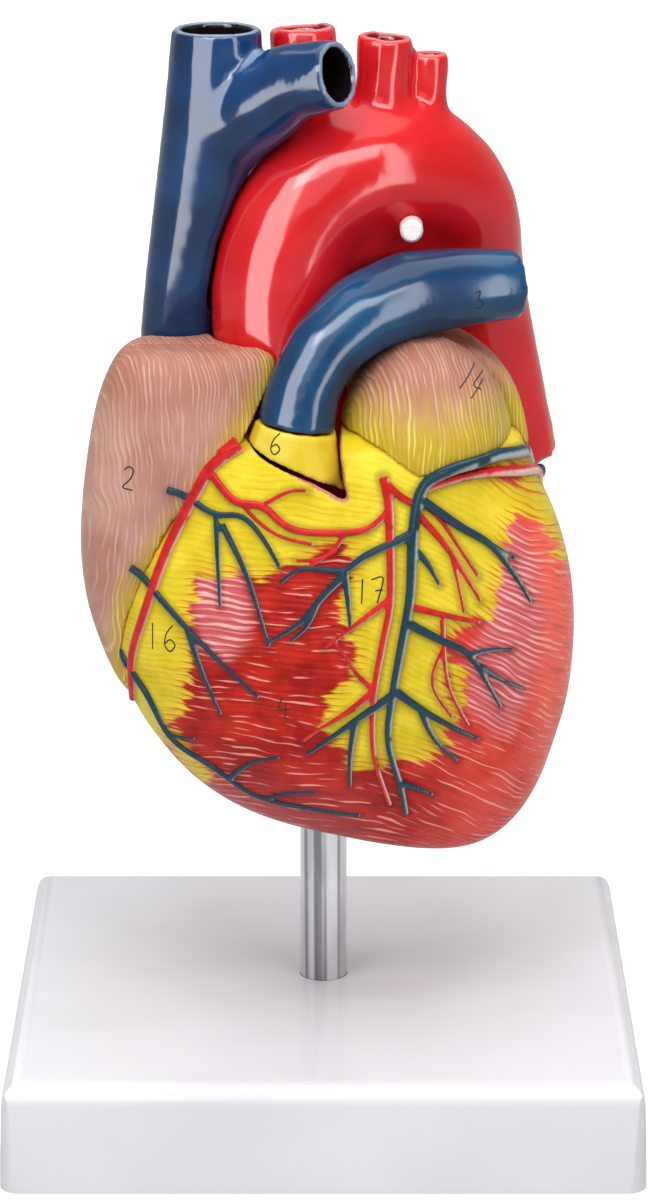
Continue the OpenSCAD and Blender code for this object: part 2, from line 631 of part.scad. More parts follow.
// Muscles that stand on the chamber walls and hold the leaflets by their cords.
muscle_rows = [
    [[-8, 12, 62], [-15, 6, 84], 4],
    [[-22, 10, 68], [-19, 5, 87], 3.4],
    [[17, 4, 62], [20, 3, 86], 4.2],
    [[33, -2, 62], [29, 2, 87], 4.2]];
cord_rows = [
    [0, [-11, 1.5, 96]], [0, [-14, 6.5, 98]], [0, [-13, -2.5, 98]], [1, [-18, 6, 95]], [1, [-17, 0, 94]],
    [2, [18.5, 4, 104]], [2, [20, -1, 104]], [3, [29, 5, 104]], [3, [28, -1, 104]]];
module papillary_muscles() color("lightcoral") moulded() {
    intersection() {
        for (m = muscle_rows) {
            foot = real(m[0]);
            tip = real(m[1]);
            tube([[foot.x, foot.y, foot.z, m[2]], each [for (t = [0.5, 0.85])
                    [foot.x + t * (tip.x - foot.x), foot.y + t * (tip.y - foot.y), foot.z + t * (tip.z - foot.z), m[2] * (1 - 0.35 * t)]],
                  [tip.x, tip.y, tip.z, m[2] * 0.4]], 7, 1);
        }
        union() { right_chamber(); left_chamber(); }
    }
    for (c = cord_rows) chord(real(muscle_rows[c[0]][1]) - [0, 0, 2], real(c[1]));
}

// ---------------------------------------------------------------- front cover

cover_gap = 0.4;                     // kept between the cover and the vessels it closes against
module cover_trims() {
    through(notch, -far, part_y + 1);
    aorta_outside(cover_gap);
    intersection() {
        trunk_outside(cover_gap);
        root_side(1, -cover_gap);
    }
    cava_outside(cover_gap);
}

module front_ventricles() color("tomato") difference() {
    moulded() difference() {
        intersection() {
            union() {
                form(ventricle_rows);
                conus_outside();
            }
            front_half();
        }
        difference() {
            chambers();
            intersection() { magnet_bosses(1); form(ventricle_rows); }
        }
        cover_trims();
    }
    magnet_pockets(1);
}

module right_auricle() color("burlywood") difference() {
    moulded() difference() {
        intersection() {
            form(right_atrium_rows);
            front_half();
        }
        form(ventricle_rows);
        conus_outside();
        difference() {
            chambers();
            intersection() { magnet_bosses(1); form(right_atrium_rows); }
        }
        cover_trims();
    }
    magnet_pockets(1);
}

module left_auricle() color("burlywood") moulded() difference() {
    intersection() {
        form(left_auricle_rows);
        front_half();
    }
    form(ventricle_rows);
    conus_outside();
    form(fewer(inner(left_auricle_rows, atrium_wall)), 1, 12);
    cover_trims();
}

module front_magnets() color("lightgray") magnets(1);

// ---------------------------------------------------------------- raised coronary vessels

// Depth of the heart's surface at a drawn x and z, on the front (side -1) or the back (side 1).
function table_row(rows, z) = let (
        hits = [for (i = [0:len(rows) - 2]) if (z >= rows[i][0] && z <= rows[i + 1][0]) i],
        i = len(hits) > 0 ? hits[0] : z < rows[0][0] ? 0 : len(rows) - 2,
        t = min(max((z - rows[i][0]) / (rows[i + 1][0] - rows[i][0]), 0), 1))
    rows[i] + t * (rows[i + 1] - rows[i]);
function skin_y(rows, x, z, side) = let (
        r = table_row(rows, z),
        u = min(abs(x - (r[1] + r[2]) / 2) / ((r[2] - r[1]) / 2), 1),
        s = pow(1 - pow(u, form_power), 1 / form_power))
    side < 0 ? mid_y(r) - s * (mid_y(r) - r[3]) : mid_y(r) + s * (r[4] - mid_y(r));
// A vessel over the skin through [x, z] points, tapering from one share of the diameter to another.
module relief(points, diameter, from = 1, to = 0.4, side = -1, rows = ventricle_rows) {
    fine = finer(points, side > 0 ? 2 : len(points) > 2 ? 1 : 2);
    last = len(fine) - 1;
    tube([for (i = [0:last]) let (p = fine[i], q = real([p.x, skin_y(rows, p.x, p.y, side), p.y]))
            [q.x, q.y, q.z, diameter / 2 * (from + (to - from) * i / last)]], from > 1.05 ? 5 : 4, 1, up = [0, 1, 0]);
}

// Each coronary vessel: its [x, z] points, then the share of the full diameter at either end.
front_arteries = [
    [[[-18, 130.6], [-21.4, 127], [-28.4, 113], [-33.3, 99], [-35, 91], [-35, 82.6]], 1.15, 0.8],
    [[[-21, 126], [-16, 122], [-11, 122], [-6, 118], [4, 117.5], [12, 122]], 0.7, 0.6],
    [[[-11, 122], [-6, 125], [-3, 125]], 0.5, 0.3],
    [[[11, 127], [12.2, 122.5], [12.3, 118]], 0.85, 0.8],
    [[[12.4, 112.8], [12.4, 106], [10.6, 97], [9.2, 86.8]], 0.78, 0.62],
    [[[8.7, 82.4], [8.8, 76], [11, 64]], 0.6, 0.45],
    [[[9.3, 89], [4, 84.8], [-2, 82]], 0.7, 0.4],
    [[[12, 106], [6, 100.5], [0, 96]], 0.6, 0.35],
    [[[18.2, 103.2], [22, 102], [29, 100]], 0.6, 0.4],
    [[[22.6, 94], [23.4, 87], [26.4, 81.4]], 0.5, 0.35],
    [[[19, 117.5], [23, 112.6], [29, 103]], 0.6, 0.35],
    [[[22, 124.7], [25, 125.4], [31, 125.6], [38.4, 122.8]], 0.8, 1.1]];
front_veins = [
    [[[40, 127.5], [33, 129.5], [25, 129.5], [18.5, 126], [16.3, 118], [16, 106], [14.5, 97], [13, 88], [12, 78],
      [14.5, 68], [15, 63]], 1.2, 0.5],
    [[[17.5, 123.5], [25, 118], [31, 114], [36, 107]], 0.9, 0.4],
    [[[16, 117], [7, 113], [4, 110.5], [-4, 111], [-8, 108]], 1, 0.3],
    [[[4, 110], [0, 106], [-4, 101], [-10, 97]], 0.7, 0.3],
    [[[4, 110], [4.6, 103.4]], 0.6, 0.4],
    [[[16, 115], [19, 112], [21, 108]], 0.7, 0.3],
    [[[15, 101], [22, 97], [27, 94], [31.5, 86]], 0.8, 0.4],
    [[[27, 94], [34, 94]], 0.5, 0.35],
    [[[29, 91.5], [36, 86]], 0.5, 0.3],
    [[[13, 88], [18, 84], [24, 80], [29, 77]], 0.8, 0.35],
    [[[18, 84], [25, 73]], 0.6, 0.35],
    [[[13, 87], [6, 82], [-3, 75]], 0.8, 0.35],
    [[[6, 82], [5, 75], [5, 68]], 0.6, 0.35],
    [[[-21.4, 119.6], [-18, 119.2], [-14.4, 119.4], [-11, 116], [-8, 111]], 0.75, 0.4],
    [[[-19, 120.2], [-19.4, 112], [-19.2, 105]], 0.6, 0.35],
    [[[-17, 120.2], [-13.6, 109], [-10, 97]], 0.6, 0.35],
    [[[-29, 101.8], [-25, 98.2], [-19, 92.5], [-12, 87]], 0.7, 0.35],
    [[[-25, 98], [-23, 91], [-19, 83]], 0.6, 0.35],
    [[[-33.4, 80.5], [-29.6, 74], [-24, 63]], 0.5, 0.4],
    [[[-6, 74], [-11, 74], [-17, 70], [-10, 65], [-1, 63], [8, 62]], 0.6, 0.6]];
rear_arteries = [
    [[[-36, 86], [-26, 91], [-14, 101], [-5, 106]], 1, 0.8],
    [[[-5, 106], [2, 93], [8, 78], [14, 60]], 0.8, 0.4],
    [[[37.6, 114.4], [34.6, 107], [32, 96]], 0.9, 0.5]];
rear_veins = [
    [[[40, 121], [31, 114.5], [16, 111.5], [0, 111], [-10, 109.5]], 1.1, 1.5],
    [[[-1, 110], [6, 94], [12, 78], [18, 60]], 0.9, 0.4],
    [[[22, 112], [26, 96], [28, 80]], 0.7, 0.4]];

crossing_gap = 0.1;                  // kept between an artery and a vein that passes it
// The raised vessels of one half, standing on the finished forms.
module raised(vessels, diameter, side) difference() {
    intersection() {
        for (v = vessels) relief(v[0], diameter, v[1], v[2], side);
        if (side < 0) front_half(); else rear_half();
    }
    form(ventricle_rows);
    form(right_atrium_rows);
    if (side < 0) {
        conus_outside();
        form(left_auricle_rows);
        through(notch, -far, part_y + 1);
    } else {
        form(left_atrium_rows);
        lower_cava_outside(seat_clearance);
        aorta_outside(seat_clearance);
    }
}

module front_coronary_arteries() color("red") moulded() difference() {
    raised(front_arteries, artery_diameter, -1);
    raised(front_veins, vein_diameter + crossing_gap, -1);
}
module front_cardiac_veins() color("darkslateblue") moulded() raised(front_veins, vein_diameter, -1);
module rear_coronary_arteries() color("red") moulded() difference() {
    raised(rear_arteries, artery_diameter, 1);
    raised(rear_veins, vein_diameter + crossing_gap, 1);
}
module rear_cardiac_veins() color("darkslateblue") moulded() raised(rear_veins, vein_diameter, 1);

// ---------------------------------------------------------------- nodes

base_plate();
support_rod();
rod_washer();
rod_screw();
rear_ventricles();
rear_right_atrium();
left_atrium();
rod_socket();
rear_magnets();
aorta();
aortic_valve();
superior_vena_cava();
inferior_vena_cava();
pulmonary_conus();
pulmonary_trunk();
pulmonary_valve();
pulmonary_veins();
arterial_ligament();
tricuspid_valve();
mitral_valve();
papillary_muscles();
rear_coronary_arteries();
rear_cardiac_veins();
front_ventricles();
right_auricle();
left_auricle();
front_magnets();
front_coronary_arteries();
front_cardiac_veins();
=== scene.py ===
"""Looks of the two-part heart model: a painted and varnished PVC heart, a chromed rod and a white
moulded base."""
import math
from functools import partial

import bpy
import numpy as np
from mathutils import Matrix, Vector
from mathutils.bvhtree import BVHTree
from mathutils.kdtree import KDTree


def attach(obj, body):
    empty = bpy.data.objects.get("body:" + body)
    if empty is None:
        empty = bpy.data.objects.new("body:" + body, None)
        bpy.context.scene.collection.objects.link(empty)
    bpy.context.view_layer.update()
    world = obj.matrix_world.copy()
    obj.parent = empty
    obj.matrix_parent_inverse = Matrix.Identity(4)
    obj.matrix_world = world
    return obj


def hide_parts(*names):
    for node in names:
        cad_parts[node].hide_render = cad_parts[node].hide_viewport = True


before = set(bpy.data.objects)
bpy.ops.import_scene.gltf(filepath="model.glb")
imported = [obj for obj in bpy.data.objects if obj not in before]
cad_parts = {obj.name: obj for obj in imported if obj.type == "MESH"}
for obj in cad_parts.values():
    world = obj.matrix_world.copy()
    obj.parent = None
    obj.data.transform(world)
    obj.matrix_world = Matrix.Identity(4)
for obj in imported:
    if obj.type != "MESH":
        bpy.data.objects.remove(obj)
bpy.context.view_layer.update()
bpy.ops.object.select_all(action="DESELECT")

MM = 0.001
SEAM_Y = -8.0            # parting plane between the cover and the rear half, in mm
PINNED_Y = -8.15         # middle of the thin layer by it whose points hardly move, in mm
FAR = 150                # outside the heart, in mm, where rays at its skin start

# ------------------------------------------------------------------ the shapes' own tables, in mm

# Rows of [height, left, right, front, back] through the heart's parts, as they are moulded.
VENTRICLES = [
    [51.5, 17, 27, -13, -6], [52.6, 11, 31, -17, -1], [55, 0, 34.8, -21, 5],
    [59, -14.5, 38.4, -24.5, 11], [65, -24.4, 41.6, -27.5, 18], [73, -31.6, 44.3, -30, 24],
    [81, -36.4, 46.4, -31.5, 27.5], [90, -38.8, 47.4, -32, 29.5], [99, -38.6, 47.4, -32, 30.5],
    [108, -36.5, 46.2, -31.3, 30], [116, -33.5, 43.8, -30.3, 28], [123, -30.5, 40.6, -28.8, 25],
    [129, -27, 38, -27.4, 21], [132.5, -22, 36, -25, 16], [134.5, -14, 29, -20, 9]]
RIGHT_ATRIUM = [
    [82, -37.6, -30, -12, 0], [85, -39.6, -26, -14, 6], [91, -42.2, -20, -16, 12],
    [100, -44.8, -13, -18, 18], [110, -45.8, -9, -19.5, 21], [120, -45.3, -7, -20.8, 22],
    [130, -44, -6, -21.5, 22], [138, -42.4, -7, -21.3, 19], [144, -40.2, -7.6, -20.3, 15],
    [147.5, -37.8, -8.6, -18, 10], [149, -34.5, -11, -14.5, 4]]
LEFT_ATRIUM = [
    [113, 0, 30, 0, 26], [117, -8, 36, -6, 29], [125, -10, 38.6, -7, 30], [133, -10, 38.2, -7, 30],
    [141, -8, 35.5, -7, 29], [146.5, -3, 30, -6, 25], [148.5, 4, 22, -2, 19]]
LEFT_AURICLE = [
    [120.5, 8, 15, -20, 0], [123, 5, 21, -24, 0], [127, 3.4, 29.5, -26.6, 0],
    [132, 3, 34.9, -27.2, 0], [138, 3.7, 34, -26, 0], [143.5, 6.2, 31.4, -23.2, 0],
    [148, 10.5, 27, -19, 0], [150.5, 15, 22.5, -14, 0]]

# ------------------------------------------------------------------ small helpers


def new_object(name, data):
    """A new object in the scene."""
    obj = bpy.data.objects.new(name, data)
    bpy.context.scene.collection.objects.link(obj)
    return obj


def only(obj):
    """Makes obj the one selected and active object."""
    bpy.ops.object.select_all(action="DESELECT")
    obj.select_set(True)
    bpy.context.view_layer.objects.active = obj


def edit_all(obj, operator, **settings):
    """Runs one mesh operator on all of the piece."""
    only(obj)
    bpy.ops.object.mode_set(mode="EDIT")
    bpy.ops.mesh.select_all(action="SELECT")
    operator(**settings)
    bpy.ops.object.mode_set(mode="OBJECT")


def apply_modifier(obj, kind, **settings):
    """Adds a modifier with its settings and applies it."""
    only(obj)
    modifier = obj.modifiers.new(kind.title(), kind)
    for key, value in settings.items():
        setattr(modifier, key, value)
    bpy.ops.object.modifier_apply(modifier=modifier.name)


def read(items, key):
    """Three numbers from each of a mesh's vertices or faces."""
    flat = np.empty(len(items) * 3, np.float32)
    items.foreach_get(key, flat)
    return flat.reshape(-1, 3).astype(float)


def points_of(obj):
    """The piece's vertices in mm."""
    return read(obj.data.vertices, "co") / MM


def move_points(obj, points):
    """Puts the piece's vertices at points in mm."""
    obj.data.vertices.foreach_set("co", (points * MM).astype(np.float32).ravel())
    obj.data.update()


def mark(obj, name, values):
    """Keeps a value for each vertex, which the piece's material reads."""
    attribute = obj.data.attributes.new(name, "FLOAT", "POINT")
    attribute.data.foreach_set("value", np.asarray(values, np.float32))


def ramp(values, low, high):
    """0 at low, 1 at high, smooth between."""
    t = np.clip((values - low) / (high - low), 0, 1)
    return t * t * (3 - 2 * t)


def catmull(rows, steps):
    """The table's rows with smooth ones put between them."""
    rows = np.asarray(rows, float)
    out = []
    for i in range(len(rows) - 1):
        a, b, c, d = rows[max(i - 1, 0)], rows[i], rows[i + 1], rows[min(i + 2, len(rows) - 1)]
        for k in range(steps):
            t = k / steps
            out.append(0.5 * (2 * b + (c - a) * t + (2 * a - 5 * b + 4 * c - d) * t ** 2
                              + (3 * b - a - 3 * c + d) * t ** 3))
    return np.array(out + [rows[-1]])


def form_tree(rows):
    """The smooth outer form of one moulded part, as a tree for finding its nearest point. Its level
    sections are superellipses, a little squarer than ellipses, widest on the parting plane."""
    around, between_rows, power = 96, 8, 2.2
    angle = np.linspace(0, 2 * np.pi, around, endpoint=False)
    c, s = (np.sign(part) * np.abs(part) ** (2 / power) for part in (np.cos(angle), np.sin(angle)))
    rings = []
    for z, left, right, front, back in catmull(rows, between_rows):
        middle = min(max(SEAM_Y, front + 1), back - 1)
        x = (left + right) / 2 + c * (right - left) / 2
        y = middle + np.where(s > 0, s * (back - middle), s * (middle - front))
        rings.append(np.stack([x, y, np.full(around, z)], 1))
    faces = [(i * around + k, i * around + (k + 1) % around,
              (i + 1) * around + (k + 1) % around, (i + 1) * around + k)
             for i in range(len(rings) - 1) for k in range(around)]
    top = (len(rings) - 1) * around
    faces += [tuple(range(around))[::-1], tuple(range(top, top + around))]
    return BVHTree.FromPolygons([tuple(p) for p in np.concatenate(rings)], faces)


def copy_node(node, name):
    """The CAD node's mesh as a piece of its own, with its loose triangles merged."""
    obj = new_object(name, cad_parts[node].data.copy())
    obj.data.materials.clear()
    edit_all(obj, bpy.ops.mesh.remove_doubles, threshold=2e-7)
    return obj


def relax(obj, passes, free=None):
    """Smooths the skin. free gives, for each point, how freely it may move, from 0 to 1."""
    settings = {"factor": 0.5, "iterations": passes}
    if free is not None:
        levels = 20
        group = obj.vertex_groups.new(name="free")
        level = np.round(np.clip(free, 0, 1) * levels).astype(int)
        for k in range(1, levels + 1):
            picked = np.nonzero(level == k)[0]
            if len(picked):
                group.add(picked.tolist(), k / levels, "REPLACE")
        settings["vertex_group"] = group.name
    apply_modifier(obj, "SMOOTH", **settings)
    obj.vertex_groups.clear()


def reskin(obj, voxel, passes, keep=None):
    """Even faces of the voxel's size in mm, relaxed and shaded smooth. keep gives, for the points,
    how freely each may move."""
    apply_modifier(obj, "REMESH", mode="VOXEL", voxel_size=voxel * MM, adaptivity=0)
    relax(obj, passes, keep(points_of(obj)) if keep else None)
    only(obj)
    bpy.ops.object.shade_smooth()


def moulded(node, name, voxel, passes, keep=None):
    """A CAD node turned into a soft moulded skin, with its flats and ridges relaxed."""
    obj = copy_node(node, name)
    reskin(obj, voxel, passes, keep)
    return obj


def lay_on(obj, form):
    """Draws the outer skin onto the smooth form that it was moulded to, where that is within reach
    in mm and faces nearly the same way. True for each point moved."""
    reach, least_cosine = 1.1, 0.55
    points, normals = points_of(obj), read(obj.data.vertices, "normal")
    moved = np.zeros(len(points), bool)
    for i, (p, n) in enumerate(zip(points, normals)):
        place, normal, _, _ = form.find_nearest(Vector(p), reach)
        if place is not None and abs(normal.dot(Vector(n))) > least_cosine:
            points[i] = place
            moved[i] = True
    move_points(obj, points)
    return moved


def seam_free(points, near=0.4, far=2.6):
    """Points by the parting plane stay, so that the two halves keep meeting."""
    return 0.02 + 0.98 * ramp(np.abs(points[:, 1] - PINNED_Y), near, far)


def tree_of(*objs):
    """One tree of the pieces' skins, in mm."""
    points, faces = [], []
    for obj in objs:
        start = len(points)
        points += [tuple(p) for p in points_of(obj)]
        faces += [tuple(start + v for v in f.vertices) for f in obj.data.polygons]
    return BVHTree.FromPolygons(points, faces)


def signed_distance(x, z, outline):
    """Distance of points to a closed outline in mm, positive inside."""
    ring = np.asarray(outline, float)
    inside = np.zeros(len(x), bool)
    best = np.full(len(x), np.inf)
    for a, b in zip(ring, np.roll(ring, -1, 0)):
        d = b - a
        t = np.clip(((x - a[0]) * d[0] + (z - a[1]) * d[1]) / (d @ d), 0, 1)
        best = np.minimum(best, np.hypot(x - a[0] - t * d[0], z - a[1] - t * d[1]))
        crosses = (a[1] > z) != (b[1] > z)
        with np.errstate(divide="ignore", invalid="ignore"):
            inside ^= crosses & (x < (b[0] - a[0]) * (z - a[1]) / (b[1] - a[1]) + a[0])
    return np.where(inside, best, -best)


# ------------------------------------------------------------------ materials

# What nodes of these kinds are always set to here.
PRESETS = {"MapRange": {"interpolation_type": "SMOOTHSTEP"}, "Mix": {"data_type": "RGBA"}}


def colour(code):
    """A linear colour from an sRGB hex code."""
    parts = [int(code[i:i + 2], 16) / 255 for i in (1, 3, 5)]
    return tuple(p / 12.92 if p <= 0.04045 else ((p + 0.055) / 1.055) ** 2.4 for p in parts) + (1.0,)


def put(tree, kind, sockets=(), out=0, **settings):
    """Adds a shader node, or takes one that is there, with its settings and its sockets' values, hex
    codes or links, in order or by their names. A kind in capitals is what a Math node does. Gives
    the output asked for, or all of them."""
    node = kind
    if isinstance(kind, str):
        if kind.isupper():
            kind, settings = "Math", {"operation": kind}
        node = tree.nodes.new("ShaderNode" + kind)
        settings |= PRESETS.get(kind, {})
    for key, value in settings.items():
        setattr(node, key, value)
    for key, value in sockets.items() if isinstance(sockets, dict) else enumerate(sockets):
        if isinstance(value, bpy.types.NodeSocket):
            tree.links.new(value, node.inputs[key])
        else:
            node.inputs[key].default_value = colour(value) if isinstance(value, str) else value
    return node.outputs if out is None else node.outputs[out]


def surface(name, **sockets):
    """A new material with its Principled shader's own sockets set. Gives it, what adds its nodes,
    its shader, and Object coordinates in mm, so that a pattern's Scale is in waves a mm."""
    material = bpy.data.materials.new(name)
    material.use_nodes = True
    add = partial(put, material.node_tree)
    shader = material.node_tree.nodes["Principled BSDF"]
    add(shader, {key.replace("_", " "): value for key, value in sockets.items()})
    metres = add("TexCoord", out="Object")
    return material, add, shader, add("VectorMath", {0: metres, "Scale": 1 / MM}, operation="SCALE")


def coats(add, paint, *layers):
    """Lays each coat over the paint before it: pairs of an amount from 0 to 1 and a colour."""
    for amount, coat in layers:
        paint = add("Mix", {0: amount, 6: paint, 7: coat}, 2)
    return paint


def finish(add, shader, paint, height, depth, strength):
    """Gives the shader its paint, and its relief from a height, with the depth in mm."""
    relief = add("Bump", {"Height": height, "Strength": strength, "Distance": depth * MM})
    add(shader, {"Base Color": paint, "Normal": relief})


def fibre_lines(add, where, pitch, lean):
    """Wavy lines, pitch mm apart, as combed or brushed along the muscle: fine streaks, the wave of
    ridges itself, long streaks and short dashes."""
    x, y, z = add("SeparateXYZ", [where], None)
    if lean:
        # level lines on the right ventricle that swing down towards the left one, from x = 13 mm
        off = add("SUBTRACT", [x, 13.0])
        squared = add("MULTIPLY_ADD", [off, off, 70.0])
        root = add("SQRT", [squared])
        swing = add("ADD", [off, root])
        across, along = add("MULTIPLY_ADD", [swing, 0.36, z]), x
    else:
        # upright lines that turn a little with the rounding of the atria
        across, along = add("MULTIPLY_ADD", [y, 0.35, x]), z
    drift = add("TexNoise", {"Vector": where, "Scale": 0.055})
    drift = add("SUBTRACT", [drift, 0.5])
    across = add("MULTIPLY_ADD", [drift, 5.5, across])
    lines = add("CombineXYZ", [along, y, across])

    def grain(run, width, detail, rough):
        """Noise drawn out along the lines, at so many waves a mm along and across them."""
        place = add("VectorMath", [lines, (run, run, width)], operation="MULTIPLY")
        return add("TexNoise", {"Vector": place, "Scale": 1.0, "Detail": detail, "Roughness": rough})

    streaks = grain(0.10, 1 / pitch, 2.0, 0.55)
    phase = add("MULTIPLY_ADD", [streaks, pitch, across])
    phase = add("MULTIPLY", [phase, 2 * math.pi / pitch])
    wave = add("SINE", [phase])
    return streaks, wave, grain(0.045, 0.55, 3.0, 0.6), grain(0.13, 0.9, 1.0, 0.5)


def heart_skin():
    """Cast PVC, sprayed yellow where it is fat and brushed red where it is muscle, then varnished:
    streaky paint with ragged edges and short pale strokes, under an even soft gloss. The pale strokes
    and the pink patches are partly paint and partly painted glints and sheen; painted shade darkens
    the lower front and the creases beside the raised vessels, and painted light brightens the left
    edge."""
    material, add, shader, where = surface("varnished_pvc_muscle_and_fat", IOR=1.44, Roughness=0.3,
                                           Specular_IOR_Level=0.26)
    x, _, z = add("SeparateXYZ", [where], None)
    streaks, wave, long_streaks, dashes = fibre_lines(add, where, 1.25, True)
    fat, blush, by_vessel = (add("Attribute", out="Fac", attribute_name=name)
                             for name in ("fat", "blush", "by_vessel"))
    patches = add("TexNoise", {"Vector": where, "Scale": 0.16, "Detail": 3.0})
    mottle = add("MapRange", [patches, 0.35, 0.65])
    # the brush leaves streaks along the fibres at the edge of each colour
    uneven = add("SUBTRACT", [long_streaks, 0.5])
    brushed = add("MULTIPLY_ADD", [uneven, 9.0, fat])
    fatty = add("MapRange", [brushed, -0.6, 0.6])

    def both(*masks):
        """Where both of two masks are, each [value, low, high, and what it gives at either end]."""
        return add("MULTIPLY", [add("MapRange", mask) for mask in masks])

    pink = coats(add, "#CB5A5E", (both([wave, -0.1, 0.5], [dashes, 0.4, 0.56, 0.3, 1.0]), "#EBB6B6"))
    red = coats(
        add, "#9D120B",
        (mottle, "#C02518"),
        # coral from the groove to the left edge, and a dusky foot: painted shade on the lower front
        # towards the right ventricle
        (add("MapRange", [x, 12.0, 30.0]), coats(add, "#D63C31", (mottle, "#E25042"))),
        (both([z, 74.0, 60.0], [x, 16.0, -2.0]), "#AE3E40"),
        # painted light: a paler coral along the left edge, where the side lamp falls
        (add("MapRange", [x, 36.0, 43.0]), "#F26A5B"),
        # paint that settled between the fibres; pink patches, partly paint and partly painted sheen;
        # and pale strokes on the fibres' crests, partly paint and partly painted glints
        (add("MapRange", [streaks, 0.53, 0.7, 0.0, 0.24]), "#3A0808"),
        (add("MapRange", [blush, -2.5, 2.0, 0.0, 0.9]), pink),
        (both([wave, 0.35, 0.9], [dashes, 0.53, 0.62, 0.0, 0.7]), "#F5AC9A"),
        # painted shade: a darker red in the creases beside the raised vessels
        (add("MapRange", [by_vessel, 1.3, 0.1, 0.0, 0.45]), "#6E1514"))
    yellow = coats(
        add, "#D2B81C",
        (add("MapRange", [patches, 0.3, 0.7]), "#E6CF36"),
        (add("MapRange", [streaks, 0.56, 0.76, 0.0, 0.28]), "#A38A17"),
        (both([brushed, 4.0, 0.4], [wave, 0.45, 0.95, 0.0, 0.8]), "#D23B22"),
        # painted shade: darker and greener in the creases beside the raised vessels
        (add("MapRange", [by_vessel, 1.3, 0.1, 0.0, 0.55]), "#8C7E1C"))
    ridges = add("MULTIPLY", [wave, 0.35])
    ridges = add("MULTIPLY_ADD", [streaks, 0.9, ridges])
    calmer = add("MapRange", [fatty, 0.0, 1.0, 1.0, 0.4])
    ridges = add("MULTIPLY", [ridges, calmer])
    finish(add, shader, coats(add, red, (fatty, yellow)), ridges, 0.28, 0.6)
    return material


def atrium_skin():
    """Cast PVC with combed grooves, sprayed tan and shaded into the yellow fat of the groove below,
    unvarnished: a satin skin with fine upright lines."""
    material, add, shader, where = surface("satin_pvc_atrium", IOR=1.44, Roughness=0.42)
    z = add("SeparateXYZ", [where], 2)
    streaks, wave, long_streaks, dashes = fibre_lines(add, where, 0.85, False)
    fat = add("Attribute", out="Fac", attribute_name="fat")
    patches = add("TexNoise", {"Vector": where, "Scale": 0.09})
    crests, breaks = add("MapRange", [wave, 0.2, 0.95]), add("MapRange", [dashes, 0.4, 0.6])
    combed = add("MULTIPLY", [crests, breaks])
    # the tan is browner at the crown, pale on the combed crests and darker where paint settled
    tan = coats(
        add, "#B37E6F",
        (add("MapRange", [patches, 0.3, 0.7]), "#C8998B"),
        (add("MapRange", [z, 130.0, 147.0, 0.0, 0.75]), "#A3694F"),
        (add("MULTIPLY", [combed, 0.45]), "#DDBBA4"),
        (add("MapRange", [streaks, 0.6, 0.78, 0.0, 0.35]), "#9A6654"))
    yellow = coats(add, "#C2A327", (combed, "#E0CD62"))
    uneven = add("SUBTRACT", [long_streaks, 0.5])
    edge = add("MULTIPLY_ADD", [uneven, 6.0, fat])
    fatty = add("MapRange", [edge, -4.5, 2.5])
    ridges = add("MULTIPLY_ADD", [wave, 0.4, streaks])
    finish(add, shader, coats(add, tan, (fatty, yellow)), ridges, 0.25, 0.55)
    return material


def vessel_gloss(name, main, deep, bore, bare_and_highlight, rough=0.13):
    """Cast PVC tubes under thick glossy brush paint: slightly uneven, painted dark in the bores as
    painted shade, and paler at the open ends' edges, partly worn paint and partly a painted
    highlight."""
    material, add, shader, where = surface(name, IOR=1.44, Roughness=rough)
    inside, rim = (add("Attribute", out="Fac", attribute_name=kept) for kept in ("inside", "rim"))
    patches = add("TexNoise", {"Vector": where, "Scale": 0.07})
    wear_and_highlight = add("TexNoise", {"Vector": where, "Scale": 0.35})
    wear_and_highlight = add("MapRange", [wear_and_highlight, 0.2, 0.7, 0.7, 1.0])
    paint = coats(
        add, main,
        (add("MapRange", [patches, 0.35, 0.65]), deep),
        # painted shade: the bores are painted dark where little light reaches into them
        (inside, bore),
        # the pale rim on the cut ends: partly worn paint, partly a painted highlight
        (add("MULTIPLY", [rim, wear_and_highlight]), bare_and_highlight))
    sag = add("TexNoise", {"Vector": where, "Scale": 0.16, "Roughness": 0.4})
    finish(add, shader, paint, sag, 0.3, 0.16)
    return material


def plain_gloss(name, first, second, scale, rough, relief, **sockets):
    """A painted, plated or moulded surface with a little mottling."""
    material, add, shader, where = surface(name, Roughness=rough, **sockets)
    mottle = add("TexNoise", {"Vector": where, "Scale": scale, "Detail": 3.0})
    paint = coats(add, first, (add("MapRange", [mottle, 0.35, 0.65]), second))
    finish(add, shader, paint, add("TexNoise", {"Vector": where, "Scale": scale * 3}), relief, 0.35)
    return material


def coronary_gloss(name, main, deep, light):
    """Enamel brushed on the raised coronary vessels, with a broken pale line on their lower flanks
    that is a painted highlight."""
    material, add, shader, where = surface(name, IOR=1.46, Roughness=0.16)
    mottle = add("TexNoise", {"Vector": where, "Scale": 0.45, "Detail": 3.0})
    flank = add("Attribute", out="Fac", attribute_name="flank")
    broken_highlight = add("TexNoise", {"Vector": where, "Scale": 0.22})
    broken_highlight = add("MapRange", [broken_highlight, 0.3, 0.44, 0.0, 0.85])
    paint = coats(
        add, main,
        (add("MapRange", [mottle, 0.38, 0.62]), deep),
        (add("MULTIPLY", [flank, broken_highlight]), light))
    finish(add, shader, paint, mottle, 0.2, 0.3)
    return material


def chrome():
    """Drawn steel rod, polished and chromed: a mirror with faint draw marks, and grey stripes in its
    colour that are painted reflections.
    """
    material, add, shader, where = surface("polished_chromed_steel", Metallic=1.0)
    marks, reflection_bands = (
        add("TexNoise", {"Vector": add("VectorMath", [where, stretch], operation="MULTIPLY"),
                         "Scale": 1.0, "Detail": detail})
        for stretch, detail in (((3.0, 3.0, 0.03), 3.0), ((0.55, 0.55, 0.004), 1.0)))
    # painted reflection: light and dark grey stripes down the rod, set in its colour
    grey = coats(add, "#8A8B8F", (add("MapRange", [reflection_bands, 0.38, 0.56]), "#E6E7EA"))
    rough = add("MapRange", [marks, 0.3, 0.75, 0.05, 0.14])
    add(shader, {"Base Color": grey, "Roughness": rough})
    return material


